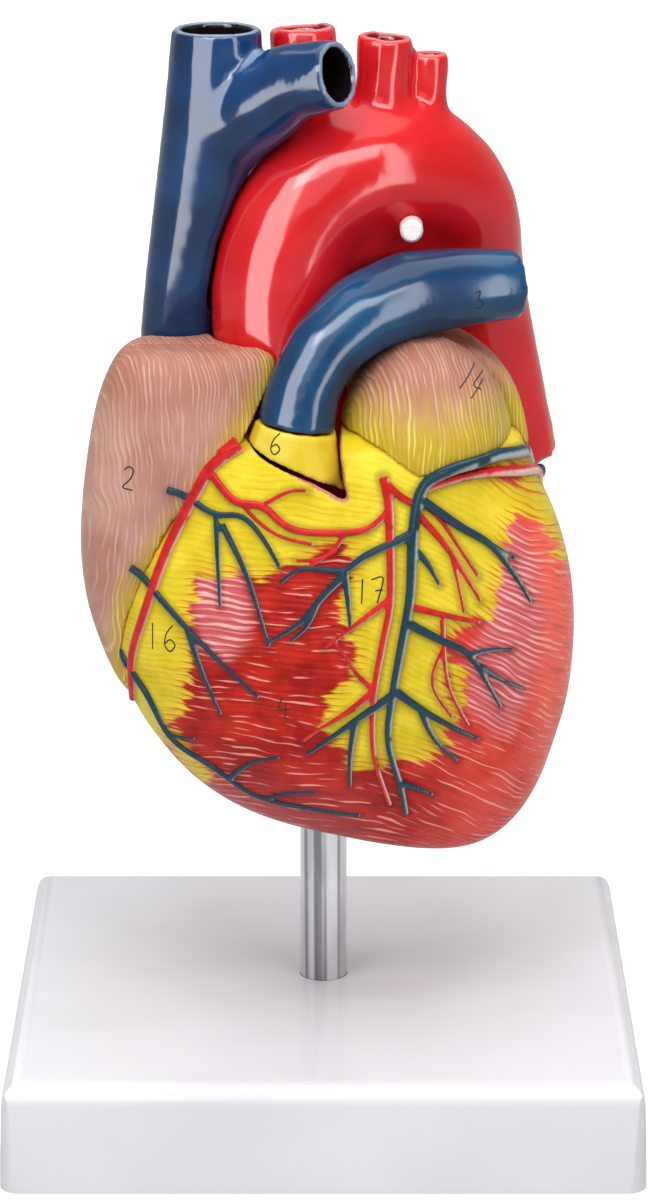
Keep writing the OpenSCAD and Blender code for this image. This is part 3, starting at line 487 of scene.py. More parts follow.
def abs_white():
    """Injection-moulded glossy white ABS: very even, with faint flow waves and fine mottling."""
    material, add, shader, where = surface("glossy_moulded_abs_white", IOR=1.53)
    flow, fine, swell = (add("TexNoise", {"Vector": where, "Scale": scale, "Detail": detail})
                         for scale, detail in ((0.03, 2.0), (0.5, 3.0), (0.12, 1.0)))
    paint = coats(add, "#D8D7DC", (add("MapRange", [flow, 0.3, 0.7]), "#DEDDE2"))
    add(shader, {"Roughness": add("MapRange", [fine, 0.3, 0.7, 0.09, 0.15])})
    finish(add, shader, paint, swell, 0.05, 0.2)
    return material


SKIN = heart_skin()
ATRIUM = atrium_skin()
# The last two colours of each: the bores' painted shade, and the rims' worn paint and painted
# highlight.
AORTA_RED = vessel_gloss("glossy_red_painted_pvc", "#D41F26", "#CB1219", "#6A0B0E", "#DE6A6C")
CAVA_BLUE = vessel_gloss("glossy_dark_blue_painted_pvc", "#0B3B6A", "#082A50", "#171014", "#7F90AC")
TRUNK_BLUE = vessel_gloss("glossy_teal_blue_painted_pvc", "#0C476E", "#0D3358", "#0E0F14", "#5C7C98",
                          0.16)
# The last colour of each: the painted highlight on the vessels' lower flanks.
ARTERY_RED = coronary_gloss("brushed_red_enamel", "#CF151B", "#B30D14", "#F2CFC4")
VEIN_BLUE = coronary_gloss("brushed_dark_teal_enamel", "#10304A", "#123A40", "#B4C0BC")
CHROME = chrome()
BASE_WHITE = abs_white()
# Sprayed and varnished cast PVC: smooth and a little wet.
CONUS_YELLOW = plain_gloss("varnished_yellow_pvc", "#DCC02C", "#E6CF4C", 0.15, 0.24, 0.1, IOR=1.44)
# Satin paint sprayed into the casting: soft pink, pitted as the inner skin came from the mould.
LINING = plain_gloss("satin_pink_chamber_lining", "#C9746A", "#D98F80", 0.25, 0.42, 0.5)
# Brush paint on the flat of the cut walls: plain red, hardly glossy.
SECTION = plain_gloss("painted_wall_section", "#B5382E", "#C24A3C", 0.4, 0.45, 0.15)
# Cast silicone: cream, waxy and even.
LEAFLET = plain_gloss("cream_silicone_leaflet", "#EAD9C0", "#F0E4D0", 0.4, 0.4, 0.1)
# Painted PVC with brush marks: flesh pink, low gloss.
MUSCLE_PINK = plain_gloss("painted_papillary_muscle", "#C0554A", "#D07A68", 0.5, 0.4, 0.3)
# A dab of white enamel on the ligament's cut end.
PEG_WHITE = plain_gloss("white_painted_peg", "#F1EEEA", "#E6E2DE", 0.8, 0.35, 0.1)
# Waterproof pen: near black, drying slightly uneven.
INK = plain_gloss("black_pen_ink", "#1A1718", "#2B2627", 1.5, 0.35, 0.05)
# Bright zinc plate on steel: pale metal with a blurred shine.
ZINC = plain_gloss("bright_zinc_plate", "#B9BCC0", "#A9ADB3", 0.8, 0.3, 0.05, Metallic=1.0)
# Nickel plate on the magnet discs: warmer and sharper than the zinc.
NICKEL = plain_gloss("nickel_plated_magnet", "#BDB9B2", "#ABA7A0", 1.0, 0.22, 0.04, Metallic=1.0)
# Turned grey plastic: dull, with fine tool marks.
SOCKET_GREY = plain_gloss("turned_grey_plastic", "#6C6E70", "#5E6062", 0.6, 0.45, 0.06)

# ------------------------------------------------------------------ heart bodies


def dress(obj, body, nodes, slot, *materials):
    """Gives the finished piece its materials and body, and hides the CAD nodes it replaces. The slot
    is not used.
    """
    for material in materials:
        obj.data.materials.append(material)
    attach(obj, body)
    if nodes:
        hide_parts(*nodes)
    return obj


def sort_faces(obj, outer):
    """Material 0 on the outer skin, 1 in the chambers, 2 on the flat of the parting plane."""
    kind = np.array([outer[list(f.vertices)].mean() <= 0.5 for f in obj.data.polygons], np.int32)
    centres, normals = read(obj.data.polygons, "center") / MM, read(obj.data.polygons, "normal")
    kind[(np.abs(centres[:, 1] - SEAM_Y) < 1.0) & (np.abs(normals[:, 1]) > 0.8)] = 2
    obj.data.polygons.foreach_set("material_index", kind)


# Painted areas as closed outlines of [x, z], seen from the front.
MUSCLE_FRONT = [
    (-23.1, 108.9), (-15.1, 110.3), (-11.4, 108.5), (-8, 111.4), (-4.3, 112.3), (-1, 115.7),
    (4, 117.2), (5.2, 113.5), (3, 108), (2.7, 102.3), (5.3, 98.5), (4, 92.7), (1.2, 86.9),
    (-1, 80.5), (4, 77.2), (5.3, 72.5), (9.6, 72.5), (13.7, 74.2), (20.3, 74.3), (23, 77.2),
    (24.5, 83.2), (22.9, 88.3), (22.9, 94.1), (23.8, 98.9), (27.1, 100.5), (31.3, 102),
    (32.2, 106.6), (32.7, 112.1), (34, 115.6), (35.9, 120.2), (39.4, 118.1), (44.3, 109.3),
    (60, 100), (60, 40), (-40, 40), (-31.8, 70), (-29, 74), (-28.6, 79.6), (-26.3, 81.6),
    (-25.4, 85), (-24.8, 91), (-24.6, 100)]
FAT_ISLANDS = [
    [(-31, 78.4), (-27, 77.4), (-23.6, 73.4), (-20.6, 67.6), (-22.8, 65), (-27, 68), (-31, 74)],
    [(23.5, 93.1), (25.3, 92.6), (26.9, 86), (25.4, 84.6), (23.3, 88.2)]]
# Pink patches on the front, partly pink paint and partly a painted sheen of the side lamps on the
# muscle.
BLUSH_AND_SHEEN_FRONT = [
    [(-23.1, 108.9), (-15.1, 110.3), (-13.5, 105.5), (-14.5, 97.9), (-18.3, 93.8), (-22.8, 96),
     (-24, 104)],
    [(34.5, 119.5), (39.3, 111.7), (41, 99.1), (39, 87.9), (34.9, 77.6), (27.5, 84), (26.5, 93),
     (29.8, 99), (31.8, 104.8), (32.1, 112.2)]]
SMEAR = [(30.8, 127.5), (34.6, 128.6), (40.9, 126.4), (41.9, 122.7), (35.6, 125.1), (31.7, 126.5)]
FAT_BY_ATRIUM = [
    (-6, 151), (-9.5, 146), (-13.5, 139), (-18.5, 132), (-24.5, 121.4), (-30.5, 114),
    (-35.8, 105.6), (-38.6, 94.8), (-41, 80), (0, 80), (0, 150)]


def ventricle_map(obj):
    """Where the skin is fat and where muscle, as distances in mm from the painted edges."""
    x, y, z = points_of(obj).T
    muscle = signed_distance(x, z, MUSCLE_FRONT)
    for island in FAT_ISLANDS:
        muscle = np.minimum(muscle, -signed_distance(x, z, island))
    muscle = np.maximum(muscle, signed_distance(x, z, SMEAR))
    # behind, fat fills the coronary groove above its lower edge, and 11 mm along the posterior one
    lower_edge = 117 + 0.006 * (x - 5) ** 2
    posterior_x = 2 + 0.28 * (112 - z)
    back = np.minimum(lower_edge - z, np.abs(x - posterior_x) - 5.5)
    behind = ramp(y, -5, 6)
    mark(obj, "fat", -(muscle * (1 - behind) + back * behind))
    # the pink patches, partly paint and partly painted sheen
    pink = np.maximum(*[signed_distance(x, z, patch) for patch in BLUSH_AND_SHEEN_FRONT])
    mark(obj, "blush", np.where(y < -5, pink, -6))


def right_atrium_map(obj):
    """Fat beyond the slanting edge in front, and below a height of 104 mm behind."""
    x, y, z = points_of(obj).T
    fat = signed_distance(x, z, FAT_BY_ATRIUM) * ramp(y, 8, -10) + (104 - z) * ramp(y, -4, 10)
    mark(obj, "fat", np.maximum(fat, -12))


def left_atrium_map(obj):
    """Fat towards the foot of the left atrium and its auricle, with a wide soft edge."""
    mark(obj, "fat", 0.6 * (138.5 - points_of(obj)[:, 2]))


def heart_shell(node, name, body, voxel, form, paint_map, slot, skin):
    """One shell of the heart, laid on its form, with its paint map, lining and flat section. Gives
    the piece, and which of its points are on the outer skin."""
    obj = moulded(node, name, voxel, 36, seam_free)
    outer = lay_on(obj, form)
    # a few passes more soften the steps between what was laid on the form and what wasn't
    relax(obj, 3, 0.1 + 0.9 * seam_free(points_of(obj), 0.3, 1.2))
    paint_map(obj)
    sort_faces(obj, outer)
    return dress(obj, body, [node], slot, skin, LINING, SECTION), outer


# What the shells of one kind share: their form, paint map, finish slot and skin.
ventricle = form_tree(VENTRICLES), ventricle_map, "muscle", SKIN
right = form_tree(RIGHT_ATRIUM), right_atrium_map, "atrium", ATRIUM
left = form_tree(LEFT_ATRIUM), left_atrium_map, "atrium", ATRIUM
left_front = form_tree(LEFT_AURICLE), left_atrium_map, "atrium", ATRIUM
front, front_outer = heart_shell("front_ventricles", "front_heart_cover", "cover", 0.62, *ventricle)
rear, rear_outer = heart_shell("rear_ventricles", "rear_heart_half", "heart", 0.75, *ventricle)
auricle, _ = heart_shell("right_auricle", "right_auricle_cover", "cover", 0.5, *right)
atrium, _ = heart_shell("rear_right_atrium", "right_atrium_wall", "heart", 0.6, *right)
left_cap, _ = heart_shell("left_auricle", "left_auricle_cover", "cover", 0.45, *left_front)
left_wall, _ = heart_shell("left_atrium", "left_atrium_wall", "heart", 0.6, *left)

# ------------------------------------------------------------------ great vessels

# Each tube's middle line as rows of [x, y, z] in mm.
AORTA = [[6, 0, 117], [1, 1, 125], [-4, 2, 136], [-8.5, 2, 150], [-7.5, 2, 164], [-2, 3, 174.5],
         [8, 6, 180.2], [18.5, 11, 178], [25, 17, 169], [28.5, 22, 158], [30.8, 26, 146],
         [33, 28.5, 132], [35.5, 30, 117]]
BRANCHES = [[[-1, 5, 183], [-3, 6, 195], [-4, 7, 207]], [[10, 7, 183], [11, 6, 195], [12, 6, 205]],
            [[19, 10, 181], [20, 9, 192], [20, 9, 201.5]]]
CAVA = [[-28, 6, 144], [-26, 5, 159], [-22.9, 4, 175], [-20.6, 2, 191], [-19.6, 1, 208]]
ARM_VEIN = [[-21, 2.5, 180], [-17.5, 1, 187.5], [-11.5, -2.5, 194], [-5, -7, 198.5],
            [3, -12, 200.6]]
LOWER_CAVA = [[-26, 12, 105], [-26, 16.5, 97], [-25.5, 21.5, 87], [-25, 24, 75]]
TRUNK = [[-4.9, -17.8, 137], [-3.6, -17, 143], [0.2, -15, 150], [6.8, -11.8, 155.5],
         [15.5, -7.5, 158.3], [25, -3.5, 158.8], [36.6, 0, 158.8]]
RIGHT_BRANCH = [[14, -2, 154.5], [12, 9, 154.5], [4, 18, 155], [-8, 22.5, 155.5],
                [-26, 22.5, 155.5]]
LUNG_VEINS = [[[9, 24, 144.1], [11, 30, 144.4], [13, 38, 145.2]],
              [[9, 25, 132], [11, 30, 131.6], [13, 38, 131]],
              [[-2, 18, 144.2], [-8, 26, 144.4], [-15, 33, 145]],
              [[-2, 18, 135], [-8, 26, 133.8], [-15, 33, 132.4]]]


def tube_marks(obj, lines, rims):
    """Marks the bores' inside and the cut faces of the open ends."""
    points, normals = points_of(obj), read(obj.data.vertices, "normal")
    middles = np.concatenate([catmull(line, 6) for line in lines])
    nearest = np.empty((len(points), 3))
    at_once = 4000
    for i in range(0, len(points), at_once):
        block = points[i:i + at_once]
        gaps = ((block[:, None, :] - middles[None]) ** 2).sum(2)
        nearest[i:i + at_once] = middles[gaps.argmin(1)]
    out = points - nearest
    out /= np.maximum(np.linalg.norm(out, axis=1, keepdims=True), 1e-6)
    mark(obj, "inside", ramp(-(out * normals).sum(1), 0.1, 0.5))
    rim = np.zeros(len(points))
    for x, y, z, reach, way in rims:
        near = np.linalg.norm(points - np.array([x, y, z]), axis=1) < reach + 1.5
        facing = normals @ (np.array(way) / np.linalg.norm(way))
        rim = np.maximum(rim, near * ramp(facing, 0.45, 0.8))
    mark(obj, "rim", rim)


def ends_free(ends):
    """Points by the cut ends, given as [x, y, z, reach], hardly move, so that the rims stay flat."""
    def free(points):
        value = np.ones(len(points))
        for x, y, z, reach in ends:
            away = np.linalg.norm(points - np.array([x, y, z]), axis=1)
            value = np.minimum(value, 0.25 + 0.75 * ramp(away, reach, reach + 3))
        return value
    return free


def vessel(node, name, lines, rims, slot, material, voxel=0.6, passes=90, also=()):
    """A hollow vessel. rims: each open end's centre, reach in mm and the way it faces. also: places
    to keep that aren't painted as rims."""
    obj = moulded(node, name, voxel, passes, ends_free([rim[:4] for rim in rims] + list(also)))
    tube_marks(obj, lines, rims)
    return dress(obj, "heart", [node], slot, material)


vessel("aorta", "aortic_arch", [AORTA] + BRANCHES,
       [(-4, 7, 207, 7.5, (0, 0, 1)), (11.6, 6, 205, 6.5, (0.08, 0, 1)), (20, 9, 201.5, 5, (0, 0, 1)),
        (36.6, 30, 117, 11, (0.2, 0.1, -1))], "artery_red", AORTA_RED, 0.7)
vessel("superior_vena_cava", "upper_vena_cava", [CAVA, ARM_VEIN],
       [(-19.6, 1, 207, 10, (0, 0, 1)), (3, -12, 200.6, 8, (0.8, -0.5, 0.2))], "vein_blue", CAVA_BLUE)
vessel("inferior_vena_cava", "lower_vena_cava", [LOWER_CAVA], [(-25, 24, 75, 9, (0, 0.2, -1))],
       "vein_blue", CAVA_BLUE)
trunk = vessel("pulmonary_trunk", "pulmonary_artery", [TRUNK, RIGHT_BRANCH],
               [(36.6, 0, 158.8, 8, (1, 0.3, 0)), (-26, 22.5, 155.5, 8, (-1, 0, 0))],
               "vein_blue", TRUNK_BLUE, also=[(-5, -17.8, 136, 8)])
vessel("pulmonary_veins", "lung_veins", LUNG_VEINS,
       [(*line[-1], 6, np.subtract(line[-1], line[-2])) for line in LUNG_VEINS],
       "artery_red", AORTA_RED, 0.5, 24)
conus = moulded("pulmonary_conus", "pulmonary_root_band", 0.45, 14, seam_free)
dress(conus, "heart", ["pulmonary_conus"], "fat", CONUS_YELLOW)
peg = moulded("arterial_ligament", "ligament_peg", 0.2, 4)
dress(peg, "heart", ["arterial_ligament"], "ligament", PEG_WHITE)

# ------------------------------------------------------------------ raised coronary vessels


def run_over(route, side, tree):
    """Carries an [x, z] route over the skin: places, skin normals and share of the way along."""
    spacing, past_seam = 1.1, -9
    line = catmull(route, 14)
    step = np.r_[0, np.cumsum(np.hypot(*np.diff(line, axis=0).T))]
    at = np.linspace(0, step[-1], max(int(step[-1] / spacing), 3) + 1)
    places, normals = [], []
    for x, z in zip(np.interp(at, step, line[:, 0]), np.interp(at, step, line[:, 1])):
        hit, normal, _, _ = tree.ray_cast(Vector((x, FAR * side, z)), Vector((0, -side, 0)))
        if hit is None or hit.y * side < past_seam:
            # beyond the skin's outline: its nearest point by the parting plane
            hit, normal, _, _ = tree.find_nearest(Vector((x, SEAM_Y, z)))
        if normal.y * side < 0 and abs(normal.y) > 0.3:
            normal = -normal
        places.append(hit[:])
        normals.append(normal[:])
    places, normals = np.array(places), np.array(normals)
    for _ in range(3):
        for row in (places, normals):
            row[1:-1] = (row[:-2] + 2 * row[1:-1] + row[2:]) / 4
    normals /= np.linalg.norm(normals, axis=1, keepdims=True)
    return places, normals, at / at[-1]


def round_curve(name, radius, resolution):
    """A curve that is drawn as round solid strokes, with the radius in mm."""
    data = bpy.data.curves.new(name, "CURVE")
    data.dimensions = "3D"
    data.bevel_depth = radius * MM
    data.bevel_resolution = resolution
    data.use_fill_caps = True
    return data


def add_stroke(data, places):
    """Adds a line of points in mm to the curve."""
    spline = data.splines.new("POLY")
    spline.points.add(len(places) - 1)
    spline.points.foreach_set("co", np.c_[np.multiply(places, MM), np.ones(len(places))].ravel())
    return spline


def mesh_of(data):
    """The curve's strokes as a mesh."""
    only(new_object(data.name, data))
    bpy.ops.object.convert(target="MESH")
    return bpy.context.active_object


def vessel_relief(name, routes, side, tree, rise, width_share):
    """Round vessels half sunk into the skin, tapering along each route, joined into one skin. Gives
    the piece, and its middle lines with their radii."""
    least_width, voxel = 0.8, 0.26      # in mm
    data = round_curve(name, 1, 3)
    lines = []
    for route, wide, narrow in routes:
        places, normals, share = run_over(route, side, tree)
        radius = np.maximum(width_share * (wide + (narrow - wide) * share), least_width) / 2
        centres = places + normals * (radius * rise)[:, None]
        lines.append(np.c_[centres, radius])
        add_stroke(data, centres).points.foreach_set("radius", radius)
    obj = mesh_of(data)
    reskin(obj, voxel, 3)
    # the flanks facing right and down get the broken pale line, a painted highlight
    right_and_down = np.array([0.9, 0.25 * side, -0.35])
    mark(obj, "flank", ramp(read(obj.data.vertices, "normal") @ right_and_down, 0.5, 0.85))
    return obj, np.concatenate(lines)


# Each vessel: its [x, z] route in mm, and its width at either end.
FRONT_ARTERIES = [
    ([(-17, 132.5), (-18.5, 131), (-21.5, 127), (-28.4, 113.5), (-33.5, 99), (-35.6, 91),
      (-35.6, 82)], 3.2, 2.2),
    ([(-20.5, 127.5), (-16, 123), (-11, 123), (-6, 119), (4, 118.5), (9, 119.5), (11.5, 122)], 2.0,
      1.6),
    ([(-11, 123), (-6, 126), (-3, 126)], 1.4, 0.7),
    ([(11, 128.5), (12, 124), (12.2, 119), (12.4, 106), (11, 98), (9.4, 88), (9.4, 76), (12.5, 65)],
      2.4, 1.2),
    ([(11.4, 127.4), (14.5, 124.5), (16.5, 123.6)], 2.0, 1.8),
    ([(9.6, 89), (5, 85), (-1, 81)], 2.0, 0.9),
    ([(12, 106), (6, 101.5), (0, 97)], 1.8, 0.8),
    ([(15.4, 105), (22, 103), (29, 101)], 1.9, 1.1),
    ([(22, 102), (23, 90), (27, 81)], 1.4, 0.8),
    ([(22.4, 97), (20, 90), (24, 83)], 1.2, 0.7),
    ([(17, 122), (23, 115), (29, 105)], 1.9, 0.9),
    ([(23.5, 114.5), (25, 108), (26, 103)], 1.3, 0.7),
    ([(17, 125.4), (22, 127.2), (30, 128.0), (38.6, 126.0), (42, 123.2)], 2.2, 3.0),
    ([(4, 118.5), (2, 115.5), (-3, 112)], 1.4, 0.7),
    ([(-1, 81), (-4, 78.6)], 0.9, 0.6),
    ([(-15.8, 133.2), (-17.2, 132.2), (-18.6, 130.4)], 4.4, 3.6),
    ([(-15, 123), (-12.4, 120.4), (-8, 117.6), (-2, 116.4)], 1.2, 0.8),
    ([(2.6, 115.4), (-1, 113.6), (-5, 113.4)], 1.2, 0.8),
    ([(9.4, 89), (6.4, 91.6), (4.2, 95.4), (1.4, 99)], 1.4, 0.8),
    ([(16.8, 124.6), (21.4, 120.6), (24.6, 115.8), (28.6, 109.6)], 1.4, 0.8)]
FRONT_VEINS = [
    ([(42, 127), (40, 128.5), (33, 130.5), (25, 130.5), (18.5, 127), (16.5, 119), (16, 107),
      (14.5, 98), (13, 89), (12, 79), (14.5, 69), (15.5, 63)], 3.3, 1.3),
    ([(17.5, 124.5), (25, 119), (31, 115), (36, 108), (38.5, 103.5)], 2.5, 1.0),
    ([(31, 115), (35.5, 112)], 1.5, 0.8),
    ([(16, 118), (7, 114), (4, 111.5), (-4, 112), (-8, 109)], 2.3, 0.9),
    ([(4, 111), (0, 107), (-4, 102), (-10, 98)], 2.0, 0.9),
    ([(4, 111), (4.6, 106), (5, 101)], 1.8, 0.9),
    ([(-1, 105.6), (-3, 101), (-6, 98.4)], 1.4, 0.8),
    ([(16, 116), (19, 113), (21.4, 108.6)], 2.0, 0.8),
    ([(15, 102), (22, 98), (27, 95), (31.5, 87), (33, 84)], 2.3, 0.8),
    ([(27, 95), (31, 95.6), (35, 95)], 1.5, 0.7),
    ([(29, 92.5), (33, 89.5), (37, 87)], 1.5, 0.7),
    ([(13, 89), (18, 85), (24, 81), (29, 78)], 2.2, 0.9),
    ([(18, 85), (20.5, 79), (25, 74)], 1.8, 0.8),
    ([(13, 88), (6, 83), (-3, 76)], 2.2, 0.9),
    ([(6, 83), (5, 76), (5, 69)], 1.8, 0.9),
    ([(14.4, 70), (18, 68.4), (20.5, 67)], 1.6, 0.8),
    ([(-29, 124.5), (-27, 124), (-20, 120.5), (-15, 121), (-11, 117), (-8, 112)], 1.8, 1.0),
    ([(-19.6, 120.6), (-19.4, 113), (-19, 104)], 1.6, 0.8),
    ([(-18.6, 119), (-14, 110), (-10, 97)], 1.6, 0.8),
    ([(-36, 108.8), (-34, 107.5), (-26, 100), (-19, 93.5), (-12, 87)], 1.9, 0.8),
    ([(-25, 99), (-22.6, 91.5), (-19, 83)], 1.7, 0.8),
    ([(-38.2, 91.4), (-35.5, 88.1), (-33.2, 85.4), (-31.1, 81.3), (-28.9, 76.8), (-25.6, 74),
      (-21.4, 72), (-17.6, 69.2), (-13.8, 66.5), (-8.8, 64.8), (-3.8, 64.2), (1.2, 63.4),
      (7, 62.7)], 1.9, 1.0),
    ([(-28.9, 76.8), (-26.4, 76.7), (-24, 77.3)], 1.2, 0.8),
    ([(-17.6, 69.2), (-14.4, 72.9), (-11.6, 74.3), (-8.2, 75)], 1.5, 0.8),
    ([(-10.6, 65.6), (-6.3, 67.4), (-1.3, 67.8)], 1.2, 0.7)]
REAR_ARTERIES = [
    ([(-36, 87), (-26, 92), (-14, 102), (-5, 107)], 2.6, 2.2),
    ([(-5, 107), (2, 94), (8, 79), (14, 61)], 2.2, 1.0),
    ([(1.5, 95), (-6, 88), (-13, 80)], 1.4, 0.8),
    ([(40, 119), (38, 116.4), (34.6, 108), (32, 97), (28, 84)], 2.4, 1.0),
    ([(33, 101), (27, 95), (22, 88)], 1.4, 0.8)]
REAR_VEINS = [
    ([(42, 126), (40, 122), (31, 115.5), (16, 112.5), (0, 112), (-10, 110.5)], 3.0, 4.2),
    ([(-1, 111), (6, 95), (12, 79), (18, 61)], 2.5, 1.2),
    ([(7, 92), (14, 85), (20, 76)], 1.6, 0.8),
    ([(22, 113), (26, 97), (28, 81)], 2.0, 1.0),
    ([(8.6, 88), (0, 82), (-6, 72)], 1.5, 0.8)]


def nearest_gap(points, lines):
    """Distance in mm from each point to the nearest round line's own surface."""
    finder = KDTree(len(lines))
    for i, line in enumerate(lines):
        finder.insert(line[:3], i)
    finder.balance()
    gaps = np.empty(len(points))
    for i, p in enumerate(points):
        _, k, far = finder.find(p)
        gaps[i] = far - lines[k][3]
    return gaps


def raise_vessels(half, side, body, skin, outer, tree, arteries, veins):
    """One half's raised vessels, with the casting swollen beside them and the distance to them kept
    for the painted shade in the creases there.
    """
    gaps = []
    for kind, node, routes, rise, width_share, slot, material in (
            ("coronary_artery", "coronary_arteries", arteries, 0.45, 0.8, "coronary_red",
             ARTERY_RED),
            ("cardiac_vein", "cardiac_veins", veins, 0.6, 0.84, "coronary_blue", VEIN_BLUE)):
        obj, lines = vessel_relief(f"{half}_{kind}_relief", routes, side, tree, rise, width_share)
        dress(obj, body, [f"{half}_{node}"], slot, material)
        gaps.append(nearest_gap(points_of(skin), lines))
    gap = np.minimum(*gaps)
    height, reach = 0.28, 1.6           # of the swelling, in mm
    swelling = height * ramp(-gap, -reach, 0.0) * outer
    move_points(skin, points_of(skin) + read(skin.data.vertices, "normal") * swelling[:, None])
    mark(skin, "by_vessel", np.where(outer, gap, 9))


raise_vessels("front", -1, "cover", front, front_outer,
              tree_of(front, auricle, left_cap, conus, trunk), FRONT_ARTERIES, FRONT_VEINS)
raise_vessels("rear", 1, "heart", rear, rear_outer, tree_of(rear, atrium, left_wall),
              REAR_ARTERIES, REAR_VEINS)

# ------------------------------------------------------------------ key numbers in black pen

# Each digit's strokes in a box of 1 by 1.
DIGITS = {
    "1": [[(0.55, 1), (0.42, 0)]],
    "2": [[(0.1, 0.82), (0.45, 1), (0.8, 0.85), (0.6, 0.45), (0.1, 0.05), (0.9, 0.0)]],
    "3": [[(0.15, 0.95), (0.7, 0.95), (0.4, 0.58), (0.8, 0.3), (0.5, 0.0), (0.1, 0.08)]],
    "4": [[(0.35, 1), (0.1, 0.45), (0.95, 0.5)], [(0.65, 0.8), (0.55, 0)]],
    "6": [[(0.8, 1), (0.3, 0.65), (0.15, 0.2), (0.5, 0.0), (0.85, 0.25), (0.55, 0.45), (0.2, 0.3)]],
    "7": [[(0.05, 0.95), (0.9, 1), (0.4, 0)], [(0.3, 0.5), (0.85, 0.52)]]}
# Each number: its middle's [x, z] and its height in mm, its turn in degrees, and what it lies on.
KEY_NUMBERS = (
    ("2", -36.0, 126.2, 4.4, -6, "cover", "atrium"), ("6", -8.6, 134.2, 4.2, -8, "heart", "fat"),
    ("14", 27.6, 144.3, 4.0, -42, "cover", "atrium"), ("17", 8.7, 107.8, 4.6, 2, "cover", "muscle"),
    ("16", -30.2, 96.6, 5.0, 4, "cover", "muscle"), ("4", -7.2, 85.0, 4.4, 0, "cover", "muscle"),
    ("3", 29.1, 157.9, 3.4, 8, "heart", "vein_blue"))


def pen_number(text, x, z, height, turn, body, slot):
    """A number drawn on the skin by hand: thin strokes that lie on it."""
    pen_radius, sunk = 0.17, 0.07       # in mm
    width, step = 0.55, 1.15            # of a digit for a height of 1, and its pitch in widths
    middle = 0.55 * len(text)           # the number's, in widths
    data = round_curve("number_" + text, pen_radius, 1)
    c, s = math.cos(math.radians(turn)), math.sin(math.radians(turn))
    for k, digit in enumerate(text):
        for stroke in DIGITS[digit]:
            line = catmull([[u + step * k - middle, v - 0.5] for u, v in stroke], 5)
            places = []
            for u, v in line * [height * width, height]:
                hit, normal, _, _ = numbered_skin.ray_cast(
                    Vector((x + u * c - v * s, -FAR, z + u * s + v * c)), Vector((0, 1, 0)))
                if hit is not None:
                    places.append(hit - normal * sunk)
            add_stroke(data, places)
    dress(mesh_of(data), body, [], slot, INK)


# made again, as the front has swollen beside its vessels
numbered_skin = tree_of(front, auricle, left_cap, conus, trunk)
for number in KEY_NUMBERS:
    pen_number(*number)

# ------------------------------------------------------------------ inner parts and fittings

for node, name, material, slot, voxel in (
        ("tricuspid_valve", "right_inlet_valve", LEAFLET, "leaflet", 0.35),
        ("mitral_valve", "left_inlet_valve", LEAFLET, "leaflet", 0.35),
        ("aortic_valve", "aortic_cusps", LEAFLET, "leaflet", 0.3),
        ("pulmonary_valve", "pulmonary_cusps", LEAFLET, "leaflet", 0.25),
        ("papillary_muscles", "papillary_muscles_and_cords", MUSCLE_PINK, "muscle", 0.3)):
    dress(moulded(node, name, voxel, 6), "heart", [node], slot, material)


def break_edges(obj, width, segments):
    """Rounds the edges over 40 degrees with a bevel in mm, inside the piece's own bounds, and shades
    it smooth up to 35 degrees."""
    before = points_of(obj)
    apply_modifier(obj, "BEVEL", width=width * MM, segments=segments, limit_method="ANGLE",
                   angle_limit=math.radians(40))
    move_points(obj, np.clip(points_of(obj), before.min(0), before.max(0)))
    only(obj)
    bpy.ops.object.shade_smooth_by_angle(angle=math.radians(35))


def smooth_copy(node, name, body, slot, material):
    """A turned or moulded CAD node with its edges lightly broken."""
    obj = copy_node(node, name)
    edit_all(obj, bpy.ops.mesh.dissolve_limited, angle_limit=math.radians(0.5))
    break_edges(obj, 0.12, 2)
    apply_modifier(obj, "WEIGHTED_NORMAL", keep_sharp=True)
    dress(obj, body, [node], slot, material)


def turned_rod():
    """The rod, turned round again at the node's own sizes, with its screw bore and broken edges."""
    p = points_of(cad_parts["support_rod"])
    r = np.hypot(p[:, 0], p[:, 1])
    low, high, radius = p[:, 2].min(), p[:, 2].max(), r.max()
    in_bore = r < 0.7 * radius
    bore_radius, bore_top = r[in_bore].max(), p[in_bore, 2].max()
    bpy.ops.object.select_all(action="DESELECT")
    bpy.ops.mesh.primitive_cylinder_add(vertices=96, radius=radius * MM, depth=(high - low) * MM,
                                        location=(0, 0, (low + high) / 2 * MM))
    obj = bpy.context.active_object
    obj.name = "chromed_rod"
    bpy.ops.object.mode_set(mode="EDIT")
    bpy.ops.mesh.select_mode(type="FACE")
    bpy.ops.mesh.select_all(action="DESELECT")
    bpy.ops.object.mode_set(mode="OBJECT")
    for face in obj.data.polygons:
        face.select = face.normal.z < -0.9
    bpy.ops.object.mode_set(mode="EDIT")
    bpy.ops.mesh.inset(thickness=(radius - bore_radius) * MM)
    bpy.ops.mesh.extrude_region_move(TRANSFORM_OT_translate={"value": (0, 0, (bore_top - low) * MM)})
    bpy.ops.object.mode_set(mode="OBJECT")
    bpy.ops.object.transform_apply(location=True, rotation=False, scale=False)
    break_edges(obj, 0.5, 3)
    dress(obj, "post", ["support_rod"], "steel", CHROME)


turned_rod()
for fitting in (("rod_washer", "zinc_washer", "post", "zinc_steel", ZINC),
                ("rod_screw", "zinc_screw", "post", "zinc_steel", ZINC),
                ("rod_socket", "rod_sleeve", "heart", "grey_plastic", SOCKET_GREY),
                ("rear_magnets", "rear_magnet_discs", "heart", "magnet", NICKEL),
                ("front_magnets", "front_magnet_discs", "cover", "magnet", NICKEL),
                ("base_plate", "moulded_base", "stand", "white_abs", BASE_WHITE)):
    smooth_copy(*fitting)

# ------------------------------------------------------------------ camera, floor and light

